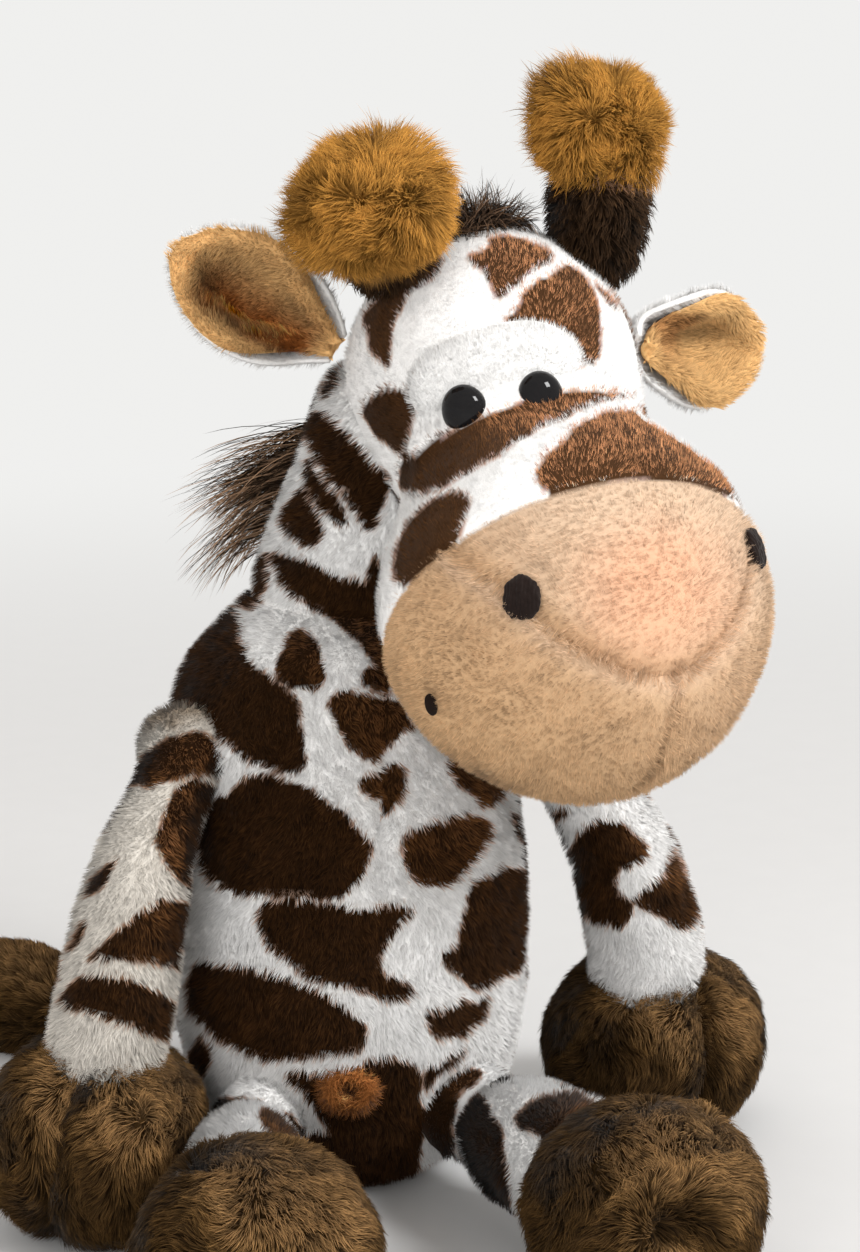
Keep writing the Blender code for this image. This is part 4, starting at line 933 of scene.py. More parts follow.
def rounded(outline, parts=5):
    """A closed smooth curve through the outline's points."""
    points = np.array(outline, float)
    out = []
    count = len(points)
    for index in range(count):
        a, b, c, d = (points[(index + k) % count] for k in (-1, 0, 1, 2))
        for step in range(parts):
            t = step / parts
            out.append(0.5 * (2 * b + (c - a) * t + (2 * a - 5 * b + 4 * c - d) * t ** 2
                              + (3 * b - a - 3 * c + d) * t ** 3))
    return np.array(out)


def inside_depth(spots, outline):
    """Distance from the outline in pixels, positive inside it."""
    start, end = outline, np.roll(outline, -1, 0)
    best = np.full(len(spots), 1e9)
    inside = np.zeros(len(spots), bool)
    for a, b in zip(start, end):
        edge = b - a
        share = np.clip(((spots - a) @ edge) / max(edge @ edge, 1e-9), 0, 1)
        best = np.minimum(best, np.linalg.norm(spots - a - share[:, None] * edge, axis=1))
        crosses = (a[1] > spots[:, 1]) != (b[1] > spots[:, 1])
        rise = b[1] - a[1] if abs(b[1] - a[1]) > 1e-9 else 1e-9
        at = (b[0] - a[0]) * (spots[:, 1] - a[1]) / rise + a[0]
        inside ^= crosses & (spots[:, 0] < at)
    return np.where(inside, best, -best)


def drawn_patches(points, outlines):
    spots = pixels(points) + 2.2 * np.stack([noise(points, 0.004, 51), noise(points, 0.004, 52)], -1)
    depth = np.full(len(points), -1e9)
    for outline in outlines:
        curve = rounded(outline)
        low, high = curve.min(0) - 4, curve.max(0) + 4
        near = ((spots > low) & (spots < high)).all(-1)
        if near.any():
            depth[near] = np.maximum(depth[near], inside_depth(spots[near], curve))
    return smoothstep(-SOFT_EDGE, SOFT_EDGE, depth)


def cell_patches(points, size, gap, seed):
    """Rounded patches with pale lanes between them, for the sides that the photograph doesn't show."""
    spot = points + 0.22 * size * np.stack([noise(points, size * 0.8, seed + k) for k in range(3)], -1)
    spot = spot / size
    cell = np.floor(spot).astype(np.int64)
    first = np.full(len(points), 9.0)
    second = np.full(len(points), 9.0)
    for dx in (-1, 0, 1):
        for dy in (-1, 0, 1):
            for dz in (-1, 0, 1):
                near = cell + (dx, dy, dz)
                key = near[:, 0] * 73856093 ^ near[:, 1] * 19349663 ^ near[:, 2] * 83492791 ^ (seed * 7919)
                jitter = np.stack([NOISE_TABLE[(key + 101 * k) & 65535] for k in range(3)], -1) * 0.42 + 0.5
                away = np.linalg.norm(spot - near - jitter, axis=1)
                second = np.where(away < first, first, np.minimum(second, away))
                first = np.minimum(first, away)
    return smoothstep(gap - 0.03, gap + 0.03, second - first)


# Outlines of the print's patches, as places in the photograph's frame
TRUNK_PATCHES = (
    ((238, 600), (242, 620), (246, 645), (256, 665), (272, 676), (288, 690), (300, 705), (302, 725), (307, 745),
     (304, 762), (295, 770), (275, 769), (250, 760), (235, 750), (215, 735), (190, 735), (165, 735), (140, 745),
     (140, 700), (165, 670), (190, 640), (215, 610), (228, 595)),
    ((250, 565), (270, 550), (268, 590), (258, 608), (240, 605), (243, 575)),
    ((272, 548), (290, 553), (315, 562), (340, 575), (366, 580), (385, 600), (395, 660), (385, 675), (372, 662),
     (358, 645), (335, 622), (310, 605), (292, 592), (280, 575)),
    ((300, 628), (290, 632), (287, 645), (280, 652), (275, 665), (278, 680), (290, 687), (303, 689), (318, 687),
     (325, 680), (325, 668), (322, 655), (318, 640), (308, 630)),
    ((330, 697), (345, 691), (365, 692), (385, 697), (400, 702), (414, 722), (405, 730), (392, 742), (380, 750),
     (377, 762), (368, 760), (355, 752), (345, 742), (337, 728), (331, 712)),
    ((372, 666), (362, 672), (362, 685), (375, 690), (388, 695), (392, 680), (385, 668)),
    ((358, 785), (362, 775), (375, 772), (385, 765), (398, 764), (405, 772), (405, 788), (400, 800), (390, 808),
     (385, 815), (380, 812), (378, 800), (368, 795)),
    ((450, 750), (470, 760), (490, 772), (500, 780), (500, 795), (492, 803), (480, 803), (470, 792), (455, 785),
     (447, 775), (446, 762)),
    ((247, 772), (280, 773), (300, 782), (323, 795), (343, 810), (357, 827), (372, 840), (372, 852), (366, 864),
     (362, 873), (352, 887), (343, 897), (327, 897), (300, 894), (277, 893), (250, 893), (225, 886), (205, 870),
     (200, 830), (215, 800), (232, 790)),
    ((258, 913), (262, 903), (277, 897), (297, 897), (323, 901), (343, 905), (367, 907), (387, 905), (410, 904),
     (411, 912), (402, 920), (393, 932), (387, 942), (380, 953), (379, 963), (387, 973), (402, 978), (412, 985),
     (412, 992), (403, 997), (387, 997), (367, 992), (347, 985), (323, 980), (307, 975), (290, 960), (273, 947),
     (263, 937), (259, 923)),
    ((195, 962), (223, 962), (247, 965), (270, 968), (283, 973), (300, 980), (320, 987), (337, 998), (353, 1013),
     (366, 1024), (367, 1035), (362, 1045), (353, 1050), (333, 1053), (313, 1055), (290, 1057), (270, 1057),
     (250, 1051), (230, 1043), (213, 1033), (203, 1020), (190, 1005)),
    ((400, 850), (402, 838), (413, 828), (423, 825), (440, 820), (457, 813), (473, 812), (490, 822), (490, 830),
     (485, 840), (480, 850), (473, 860), (463, 870), (457, 878), (447, 885), (430, 883), (413, 882), (408, 870),
     (403, 860)),
    ((470, 880), (483, 875), (500, 867), (517, 865), (527, 883), (530, 907), (528, 927), (523, 950), (517, 967),
     (503, 973), (493, 977), (483, 983), (473, 987), (463, 983), (457, 975), (443, 963), (442, 953), (447, 947),
     (453, 940), (457, 927), (462, 910), (467, 893)),
    ((422, 1013), (427, 1008), (443, 1007), (460, 998), (473, 997), (485, 995), (487, 1003), (482, 1013),
     (473, 1023), (463, 1032), (450, 1035), (437, 1037), (427, 1033), (425, 1025)),
    ((287, 1072), (297, 1068), (320, 1070), (340, 1068), (353, 1065), (370, 1058), (387, 1055), (407, 1058),
     (420, 1067), (423, 1077), (422, 1090), (413, 1103), (403, 1110), (393, 1117), (383, 1120), (377, 1117),
     (370, 1123), (360, 1143), (343, 1140), (330, 1130), (323, 1120), (317, 1110), (310, 1100), (303, 1090),
     (290, 1080)),
    ((200, 1033), (210, 1040), (215, 1050), (213, 1063), (207, 1073), (193, 1070), (188, 1060), (193, 1047)),
    ((424, 1066), (440, 1060), (452, 1052), (464, 1042), (460, 1055), (447, 1068), (436, 1080), (426, 1088)),
    ((511, 810), (523, 816), (525, 832), (519, 841), (513, 828)),
    ((311, 420), (318, 410), (328, 410), (340, 422), (352, 434), (364, 449), (378, 464), (395, 475), (390, 492),
     (383, 510), (378, 527), (366, 528), (357, 512), (345, 495), (332, 478), (322, 463), (313, 448)),
    ((305, 470), (310, 455), (320, 468), (332, 485), (344, 503), (349, 520), (341, 525), (330, 516), (318, 502),
     (309, 487)),
    ((284, 512), (292, 498), (304, 485), (314, 500), (323, 519), (328, 531), (321, 542), (309, 544), (298, 536),
     (284, 527)),
    ((376, 550), (382, 565), (383, 585), (380, 600), (378, 625), (378, 650), (372, 645), (366, 625), (362, 605),
     (366, 585), (370, 565)),
    ((349, 352), (355, 345), (345, 370), (336, 392), (326, 396), (330, 380), (340, 362)),
)
HEAD_PATCHES = (
    ((366, 322), (378, 305), (400, 285), (425, 265), (445, 262), (440, 278), (420, 292), (408, 305), (400, 322),
     (397, 340), (395, 355), (393, 365), (386, 366), (377, 356), (372, 341)),
    ((470, 259), (484, 254), (491, 243), (513, 241), (531, 247), (552, 256), (549, 266), (534, 274), (524, 281),
     (516, 288), (506, 296), (496, 302), (491, 290), (484, 277), (474, 270)),
    ((549, 279), (563, 268), (574, 274), (588, 288), (595, 306), (598, 327), (597, 349), (593, 363), (581, 370),
     (570, 365), (559, 357), (550, 350), (538, 343), (527, 334), (516, 331), (502, 325), (513, 315), (520, 304),
     (524, 294), (534, 286)),
    ((369, 406), (380, 393), (395, 389), (410, 392), (421, 396), (420, 410), (416, 425), (413, 441), (409, 457),
     (399, 453), (388, 441), (377, 431), (370, 420)),
    ((404, 468), (412, 456), (427, 447), (449, 436), (470, 425), (484, 418), (506, 412), (524, 404), (541, 398),
     (570, 394), (598, 394), (632, 399), (613, 403), (599, 408), (581, 415), (563, 424), (545, 431), (531, 440),
     (516, 449), (502, 459), (484, 470), (466, 481), (452, 490), (434, 497), (419, 500), (408, 494), (403, 482)),
    ((538, 482), (541, 470), (552, 456), (563, 445), (577, 431), (599, 420), (620, 415), (645, 415), (663, 420),
     (684, 431), (706, 445), (722, 458), (735, 474), (745, 492), (724, 500), (699, 495), (649, 485), (609, 488),
     (577, 500), (555, 505), (545, 492)),
    ((425, 513), (438, 502), (452, 495), (466, 496), (474, 503), (470, 516), (465, 531), (459, 545), (461, 559),
     (456, 568), (438, 575), (420, 582), (402, 585), (399, 563), (404, 541), (411, 527)),
    ((477, 557), (484, 545), (497, 531), (512, 523), (526, 523), (520, 535), (506, 545), (500, 556), (488, 560)),
    ((441, 364), (447, 352), (458, 343), (470, 337), (487, 331), (500, 326), (489, 334), (472, 341), (460, 347),
     (450, 356)),
    ((592, 288), (604, 295), (616, 312), (606, 309), (597, 298)),
)
ARM_R_PATCHES = (
    ((133, 773), (141, 762), (150, 750), (163, 740), (183, 733), (200, 732), (213, 740), (222, 753), (224, 766),
     (215, 772), (197, 774), (177, 777), (163, 783), (150, 788), (139, 784)),
    ((180, 783), (197, 778), (211, 780), (222, 790), (228, 810), (229, 840), (227, 867), (222, 890), (216, 906),
     (203, 898), (190, 887), (177, 877), (166, 866), (158, 847), (157, 832), (162, 816), (169, 799)),
    ((92, 956), (103, 943), (117, 930), (130, 917), (150, 903), (167, 897), (183, 898), (200, 902), (214, 908),
     (217, 922), (215, 942), (210, 965), (206, 988), (196, 980), (186, 973), (173, 966), (160, 962), (140, 960),
     (120, 958)),
    ((62, 998), (70, 986), (80, 975), (94, 972), (110, 973), (127, 977), (143, 983), (160, 990), (173, 998),
     (183, 1009), (186, 1023), (180, 1037), (166, 1038), (153, 1034), (140, 1030), (127, 1023), (110, 1018),
     (93, 1012), (80, 1009), (67, 1006)),
    ((117, 859), (107, 863), (98, 872), (91, 885), (90, 897), (99, 890), (110, 877)),
    ((82, 925), (88, 917), (86, 932), (78, 945), (72, 950)),
)
ARM_L_PATCHES = (
    ((573, 842), (582, 827), (600, 818), (620, 821), (633, 830), (643, 841), (647, 851), (640, 860), (628, 866),
     (617, 878), (620, 891), (630, 902), (632, 912), (624, 924), (600, 920), (586, 909), (575, 898), (571, 880),
     (569, 860)),
    ((630, 903), (640, 890), (654, 876), (666, 860), (671, 846), (680, 868), (687, 888), (693, 903), (692, 918),
     (682, 926), (667, 921), (653, 911), (640, 907)),
    ((522, 798), (545, 803), (568, 808), (560, 816), (545, 818), (533, 810)),
    ((566, 905), (578, 920), (590, 940), (585, 955), (574, 958), (569, 935)),
)
LEG_L_PATCHES = (
    ((419, 1125), (424, 1101), (436, 1084), (450, 1070), (468, 1067), (483, 1071), (475, 1084), (463, 1094),
     (456, 1110), (453, 1130), (454, 1153), (461, 1173), (470, 1192), (452, 1178), (437, 1160), (425, 1142)),
    ((457, 1137), (461, 1116), (470, 1101), (480, 1096), (489, 1102), (494, 1116), (501, 1128), (505, 1145),
     (507, 1162), (511, 1180), (512, 1200), (504, 1212), (490, 1205), (477, 1193), (464, 1175), (458, 1155)),
    ((513, 1119), (525, 1105), (543, 1098), (561, 1094), (576, 1096), (590, 1104), (604, 1113), (597, 1124),
     (582, 1134), (568, 1141), (554, 1147), (542, 1141), (529, 1131), (518, 1127)),
    ((541, 1156), (552, 1150), (560, 1156), (552, 1168), (542, 1172)),
)
LEG_R_PATCHES = (
    ((258, 1118), (268, 1112), (284, 1112), (298, 1120), (309, 1135), (313, 1155), (310, 1175), (280, 1175),
     (270, 1150)),
    ((198, 1112), (212, 1102), (235, 1098), (262, 1102), (240, 1108), (218, 1115), (205, 1122)),
)
SEAT_PATCH = ((262, 1122), (300, 1128), (350, 1124), (402, 1088), (425, 1108), (418, 1160), (398, 1222), (268, 1222),
              (252, 1165))   # the print under the belly
PATCHES = {
    "torso": TRUNK_PATCHES + (SEAT_PATCH,),
    "neck": TRUNK_PATCHES,
    "head": TRUNK_PATCHES[18:] + HEAD_PATCHES,
    "arm_r": ARM_R_PATCHES, "arm_l": ARM_L_PATCHES, "leg_r": LEG_R_PATCHES, "leg_l": LEG_L_PATCHES,
}
FACING = 0.10                # past this a surface faces the camera enough to carry the drawn patches


def coat_mask(region, points, normals):
    drawn = drawn_patches(points, PATCHES.get(region, []))
    cells = cell_patches(points, CELL_SIZES.get(region, 0.034), 0.2, sum(map(ord, region)))
    seen = dot(normals, unit(EYE_AT - points)) > FACING
    return np.where(seen, drawn, cells)


CELL_SIZES = {"torso": 0.036, "head": 0.036, "neck": 0.032, "arm_r": 0.030, "arm_l": 0.030, "leg_r": 0.030,
              "leg_l": 0.030, "tail": 0.02}


def coat_tint(region, points, normals):
    mask = coat_mask(region, points, normals)[:, None]
    pale = np.array(WHITE)
    if region == "arm_r":
        # painted shade: the arm that the light leaves is a shaded white, and darker beige towards its shoulder's top,
        # partly its own tone
        shaded_cap = smoothstep(CAP_PIXELS[1], CAP_PIXELS[0], pixels(points)[:, 1] + 12 * noise(points, 0.005, 63))[:, None]
        pale = np.array(ARM_SHADE_WHITE) * (1 - shaded_cap) + np.array(CAP) * shaded_cap
    tint = pale * (1 - mask) + np.array(BROWN) * mask
    fringe = FRINGE_SHARE * 4 * mask * (1 - mask)
    return tint * (1 - fringe) + np.array(FRINGE) * fringe


def plain_tint(colour, points, depth=0.08):
    vary = 1 + depth * noise(points, 0.012, 61)
    return np.array(colour) * vary[:, None]


def tint_grid(skin, tint_of):
    shape = skin["points"].shape
    flat = tint_of(skin["points"].reshape(-1, 3), skin["normals"].reshape(-1, 3))
    return flat.reshape(shape)


def hidden_by(roots, centre, radius):
    return np.linalg.norm(roots["points"] - np.array(centre), axis=1) < radius


def finish_skin(obj, body, nodes):
    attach(obj, body)
    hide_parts(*nodes)
    return obj


# Torso

def crease(distance, width, depth):
    return -depth * np.exp(-(distance / width) ** 2)


def settle(skin, depth):
    """Draws a skin in, so that its pile ends about where the cover's form does."""
    push(skin, np.full(skin["points"].shape[:2], -depth))


def swell_shoulder(skin):
    """The giraffe's right shoulder bulges, where the neck leans away from it."""
    height = np.exp(-((skin["points"][..., 2] - SWELL_HEIGHT) / 0.022) ** 2)
    push(skin, SWELL * height * smoothstep(0.2, 0.8, -skin["normals"][..., 0]))


def tuck_seat(points):
    """Rounds the bottom off under the belly, and keeps it on the floor."""
    middle = points.reshape(-1, 3)[points[..., 2].argmin()][:2]
    level = TUCK * np.clip((TUCK_HEIGHT - points[..., 2]) / TUCK_HEIGHT, 0, 1) ** 2
    points[..., :2] += (middle - points[..., :2]) * level[..., None]
    points[..., 2] = np.maximum(points[..., 2], 0.0006)


def dress_torso():
    rng = np.random.default_rng(11)
    skin = surface(TORSO, SIDEWAYS)
    lumps(skin, 0.0011, 0.030, 1)
    settle(skin, COAT_SINK)
    swell_shoulder(skin)
    spots = pixels(skin["points"])
    front = dot(skin["normals"], unit(EYE_AT - skin["points"])) > 0.2
    seam = crease((spots[..., 0] - FRONT_SEAM) * PIXEL, 0.0016, 0.0011)
    push(skin, np.where(front & (spots[..., 1] > 640), seam, 0))
    tuck_seat(skin["points"])
    tint = lambda p, n: coat_tint("torso", p, n)
    obj = skin_mesh("torso_skin", skin, CLOTH, tint_grid(skin, tint))
    finish_skin(obj, "torso", ("torso_cover", "torso_filling", "seat_pellet_pouch"))
    roots = sample(skin, COAT_PILE["density"] * DENSE, rng)
    roots = pick(roots, (roots["points"][:, 2] > 0.0015) & ~hidden_by(roots, NECK_PIVOT + UP * 0.03, 0.026))
    grow("torso_pile", "torso", roots, -roots["along"], COAT_PILE, tint(roots["points"], roots["normals"]),
         PILE, rng, clump=COAT_CLUMP)


def dress_neck():
    rng = np.random.default_rng(12)
    skin = surface(NECK, SIDEWAYS)
    lumps(skin, 0.0010, 0.026, 2)
    settle(skin, COAT_SINK)
    tint = lambda p, n: coat_tint("neck", p, n)
    obj = skin_mesh("neck_skin", skin, CLOTH, tint_grid(skin, tint))
    finish_skin(obj, "neck", ("neck_cover", "neck_filling"))
    roots = sample(skin, COAT_PILE["density"] * DENSE, rng)
    inside = hidden_by(roots, CRANIUM, CRANIUM_RADIUS * 0.96) | hidden_by(roots, NECK_PIVOT, NECK_DOME_RADIUS)
    roots = pick(roots, ~inside)
    grow("neck_pile", "neck", roots, -roots["along"], COAT_PILE, tint(roots["points"], roots["normals"]),
         PILE, rng, clump=COAT_CLUMP)


# Limbs

def limb_forms(root, hoof_at, bow, root_radius, radius, hoof_size, heading):
    half_width, half_length, height = hoof_size
    half_height = (height + PRESS_DEPTH) / 2
    centre = Vector((hoof_at[0], hoof_at[1], half_height - PRESS_DEPTH))
    path = bowed_path(root, centre, bow)
    limb_lateral = UP.cross((centre - root).normalized()).normalized()
    if abs((centre - root).normalized().z) > STEEP:
        limb_lateral = SIDEWAYS
    hoof = hoof_rows(centre, half_width, half_length, half_height, heading)
    return limb_rows(path, root_radius, radius), limb_lateral, hoof, heading.cross(UP).normalized(), centre


# How much fuller than its cage a limb is, where along it, and over what reach
FULLNESS = {"arm_r": (0.62, 0.15, 0.22), "arm_l": (0.34, 0.30, 0.24), "leg_r": (0.20, 0.3, 0.4),
            "leg_l": (0.38, 0.2, 0.35)}


def broaden(rows, root, centre, amount, middle, spread):
    """Fills out the limb, which is broad and soft where it leaves the torso."""
    reach = (centre - root).length
    for row in rows:
        share = (row["at"] - root).length / reach
        grown = 1 + amount * math.exp(-((share - middle) / spread) ** 2)
        row["wide"] *= grown
        row["deep"] *= grown


def dress_limb(kind, side, root, hoof_at, bow, root_radius, radius, hoof_size, heading, hoof_name, pouch_name):
    body = "%s_%s" % (kind, side)
    rng = np.random.default_rng(sum(map(ord, body)))
    rows, lateral, hoof, hoof_lateral, centre = limb_forms(root, hoof_at, bow, root_radius, radius, hoof_size,
                                                           heading)
    broaden(rows, root, centre, *FULLNESS[body])
    skin = surface(rows, lateral)
    lumps(skin, 0.0011, 0.020, sum(map(ord, body)) % 13)
    settle(skin, COAT_SINK)
    tint = lambda p, n: coat_tint(body, p, n)
    obj = skin_mesh(body + "_skin", skin, CLOTH, tint_grid(skin, tint))
    finish_skin(obj, body, ("%s_sleeve_%s" % (kind, side), "%s_filling_%s" % (kind, side)))
    hoof_skin = surface(hoof, hoof_lateral)
    lumps(hoof_skin, 0.0016, 0.022, 5)
    settle(hoof_skin, HOOF_SINK[kind])
    mark = np.array(centre) + marked_way(kind, side) * half_size(hoof_size)
    shape_hoof(kind, hoof_skin, np.array(centre), mark)
    dark = lambda p, n: plain_tint(HOOF, p)
    hoof_obj = skin_mesh("%s_%s_skin" % (hoof_name, side), hoof_skin, CLOTH, tint_grid(hoof_skin, dark))
    flatten(hoof_obj.data)
    finish_skin(hoof_obj, body, ("%s_%s" % (hoof_name, side), "%s_%s" % (pouch_name, side)))
    inside_hoof = lambda r: inside_form(r["points"], centre, heading, hoof_size, 0.97)
    roots = sample(skin, COAT_PILE["density"] * DENSE, rng)
    down_limb = unit(np.array(rows[4]["at"] - root))
    first = -0.9 * root_radius if kind == "arm" else 0.0
    roots = pick(roots, ~inside_hoof(roots) & ((roots["points"] - np.array(root)) @ down_limb > first))
    grow(body + "_pile", body, roots, roots["along"], COAT_PILE, tint(roots["points"], roots["normals"]),
         PILE, rng, clump=COAT_CLUMP)
    roots = sample(hoof_skin, HOOF_PILE["density"] * DENSE, rng)
    roots = pick(roots, roots["points"][:, 2] > HOOF_PILE_HEIGHT)
    comb, lengths = hoof_comb(kind, roots, np.array(centre), mark)
    grow("%s_%s_pile" % (hoof_name, side), body, roots, comb, HOOF_PILE,
         plain_tint(HOOF, roots["points"], 0.25), PILE, rng, levels=3, clump=HOOF_CLUMP, droop=0.10,
         root_dark=0.42, lengths=lengths)


# Where the hooves' clefts and puckers are, as directions from the hoof's middle
MARKS = {"arm_r": (-0.25, -0.90, 0.25), "arm_l": (0.42, -0.88, 0.10), "leg_r": (0.0, -0.95, 0.12),
         "leg_l": (0.20, -0.95, 0.12)}


def marked_way(kind, side):
    return unit(np.array(MARKS["%s_%s" % (kind, side)]))


def half_size(hoof_size):
    return (hoof_size[0] + hoof_size[1]) / 2


def shape_hoof(kind, skin, centre, mark):
    """Front hooves have a cleft down their front, and hind hooves a gathered pucker."""
    away = skin["points"] - centre
    if kind == "arm":
        way = unit((mark - centre) * np.array((1, 1, 0)))
        across = np.cross(way, np.array(CLEFT_LEAN))
        level = away @ unit(across)
        ahead = smoothstep(-0.004, 0.016, away @ way)
        push(skin, crease(level, 0.0042, 0.0062) * ahead)
    else:
        push(skin, crease(np.linalg.norm(skin["points"] - mark, axis=-1), 0.0080, 0.0065))


def hoof_comb(kind, roots, centre, mark):
    points, normals = roots["points"], roots["normals"]
    away = points - mark
    spread = np.linalg.norm(away, axis=1)
    down = np.zeros_like(points)
    down[:, 2] = -1
    if kind == "arm":
        way = unit((mark - centre) * np.array((1, 1, 0)))
        across = unit(np.cross(way, np.array(CLEFT_LEAN)))
        level = (points - centre) @ across
        near = np.exp(-(level / 0.009) ** 2) * smoothstep(-0.004, 0.016, (points - centre) @ way)
        comb = down * 0.8 + across * (np.sign(level) * near * 1.4)[:, None]
    else:
        near = np.exp(-(spread / 0.016) ** 2)
        comb = down * (1 - near * 0.85)[:, None] + unit(away) * (near * 1.6)[:, None]
    drift = np.stack([noise(points, 0.012, 90 + k) for k in range(3)], -1)
    comb = comb + 1.1 * drift
    comb = unit(comb - normals * dot(comb, normals)[:, None])
    return comb, 1 + 0.15 * near


def flatten(mesh):
    """Presses what would be under the floor up to it."""
    spots = np.zeros(len(mesh.vertices) * 3)
    mesh.vertices.foreach_get("co", spots)
    spots[2::3] = np.maximum(spots[2::3], 0.0001)
    mesh.vertices.foreach_set("co", spots)
    mesh.update()


def inside_form(points, centre, heading, size, share):
    half_width, half_length, height = size
    away = points - np.array(centre)
    forward = away @ np.array(heading)
    across = away @ np.array(heading.cross(UP))
    return ((forward / half_length) ** 2 + (across / half_width) ** 2 + (away[:, 2] / (height / 2)) ** 2) < share


def dress_limbs():
    front = (FRONT_HOOF_HALF_WIDTH, FRONT_HOOF_HALF_LENGTH, FRONT_HOOF_HEIGHT)
    hind = (HIND_HOOF_HALF_WIDTH, HIND_HOOF_HALF_LENGTH, HIND_HOOF_HEIGHT)
    for side, turn, at, bow in (("r", SHOULDER_TURN_R, FRONT_HOOF_AT_R, ARM_BOW_R),
                                ("l", SHOULDER_TURN_L, FRONT_HOOF_AT_L, ARM_BOW_L)):
        root = torso_surface(SHOULDER_HEIGHT, turn, ROOT_PROUD)
        heading = level_heading((0, 0), at) if side == "l" else FORWARD
        dress_limb("arm", side, root, at, bow, ARM_ROOT_RADIUS, ARM_RADIUS, front, heading, "front_hoof",
                   "front_pellet_pouch")
    for side, turn, at, bow in (("r", HIP_TURN_R, HIND_HOOF_AT_R, LEG_BOW_R),
                                ("l", HIP_TURN_L, HIND_HOOF_AT_L, LEG_BOW_L)):
        root = torso_surface(HIP_HEIGHT, turn, ROOT_PROUD)
        dress_limb("leg", side, root, at, bow, LEG_ROOT_RADIUS, LEG_RADIUS, hind, level_heading(root, at),
                   "hind_hoof", "hind_pellet_pouch")


def dress_tail():
    rng = np.random.default_rng(21)
    root = torso_surface(TAIL_ROOT_HEIGHT, TAIL_TURN)
    tuft_centre = Vector((TAIL_TUFT_AT[0], TAIL_TUFT_AT[1], TAIL_TUFT_RADIUS - PRESS_DEPTH))
    heading = level_heading(root, tuft_centre)
    tuft = []
    for share, girth in HOOF_SHARES:
        radius = girth * TAIL_TUFT_RADIUS
        tuft.append(station(tuft_centre + heading * (share * TAIL_TUFT_HALF_LENGTH), radius, radius))
    path = bowed_path(root, tuft_centre, TAIL_BOW)
    rows = []
    first = (path[1] - path[0]).normalized()
    for share, girth in ROOT_SHARES:
        rows.append(station(path[0] + first * (share * TAIL_RADIUS), girth * TAIL_RADIUS, girth * TAIL_RADIUS))
    for share, girth in TAIL_SHARES:
        rows.append(station(path_point(path, share), girth * TAIL_RADIUS, girth * TAIL_RADIUS))
    lateral = heading.cross(UP)
    skin = surface(rows, lateral)
    tint = lambda p, n: coat_tint("tail", p, n)
    obj = skin_mesh("tail_skin", skin, CLOTH, tint_grid(skin, tint))
    finish_skin(obj, "tail", ("tail_sleeve", "tail_filling"))
    roots = sample(skin, COAT_PILE["density"] * DENSE, rng)
    roots = pick(roots, roots["points"][:, 1] > root.y + TAIL_RADIUS * 0.5)
    grow("tail_pile", "tail", roots, roots["along"], COAT_PILE, tint(roots["points"], roots["normals"]),
         PILE, rng)
    tuft_skin = surface(tuft, lateral)
    dark = lambda p, n: plain_tint(HOOF, p)
    core = skin_mesh("tail_tuft_core", tuft_skin, CLOTH, tint_grid(tuft_skin, dark))
    flatten(core.data)
    finish_skin(core, "tail", ("tail_tuft",))
    roots = sample(tuft_skin, HOOF_PILE["density"] * DENSE, rng)
    roots = pick(roots, roots["points"][:, 2] > HOOF_PILE_HEIGHT)
    grow("tail_tuft_pile", "tail", roots, roots["along"], HOOF_PILE,
         plain_tint(HOOF, roots["points"], 0.2), PILE, rng, levels=3, clump=(0.005, 0.5), root_dark=0.5)


# Head

SEAM_NORMAL = towards(MUZZLE_FRAME, SNOUT_SEAM_TURN, -SNOUT_SEAM_PITCH)
SEAM_POINT = MUZZLE - SEAM_NORMAL * SNOUT_SEAM_SETBACK
MOUTH = towards(MUZZLE_FRAME, 0, -MOUTH_PITCH)


def snout_edges():
    """The directions in which the three seams leave the mouth: to each nostril, and down the chin."""
    edges = []
    for sign in (-1, 1):
        way = towards(MUZZLE_FRAME, sign * NOSTRIL_SPREAD, NOSTRIL_RISE)
        edges.append((way - MOUTH * way.dot(MOUTH)).normalized())
    edges.append(-(MUZZLE_FRAME[2] - MOUTH * MUZZLE_FRAME[2].dot(MOUTH)).normalized())
    return [np.array(edge) for edge in edges]


EDGES = snout_edges()


def past_seam(points):
    """How far points lie in front of the snout's seam."""
    return (points - np.array(SEAM_POINT)) @ np.array(SEAM_NORMAL)


def seam_sag(along, number):
    return SEAM_SAG[number] * np.sin(math.pi * np.clip(along / (MUZZLE_RADIUS * 0.8), 0, 1))


def edge_distance(points, number):
    """Distance from the seam that leaves the mouth along an edge. The two upper seams sag."""
    edge = EDGES[number]
    away = points - np.array(MUZZLE)
    mouth = np.array(MOUTH)
    normal = np.cross(mouth, edge)
    level = away @ normal
    along = away @ edge
    ahead = away @ mouth
    level = level - seam_sag(along, number)
    return np.where((along > 0) & (ahead > -0.5 * MUZZLE_RADIUS), np.abs(level),
                    np.hypot(level, np.minimum(along, 0)) + np.maximum(-ahead - 0.5 * MUZZLE_RADIUS, 0))


def panel_of(points):
    """0 for the coat, 1 for the upper snout, 2 and 3 for the chin's right and left."""
    away = points - np.array(MUZZLE)
    for number, edge in enumerate(EDGES):
        across = np.cross(np.array(MOUTH), edge)
        sag = seam_sag(away @ edge, number) * np.exp(-((away @ across) / 0.014) ** 2)
        away = away - across * sag[:, None]
    away = away - np.outer(away @ np.array(MOUTH), np.array(MOUTH))
    away = unit(away)
    scores = []
    for one, two in ((0, 1), (2, 0), (2, 1)):
        middle = unit(EDGES[one] + EDGES[two])
        half = math.acos(float(np.clip(middle @ EDGES[one], -1, 1)))
        scores.append(np.arccos(np.clip(away @ middle, -1, 1)) / half)
    panel = np.argmin(np.stack(scores, -1), -1) + 1
    return np.where(past_seam(points) > 0, panel, 0)


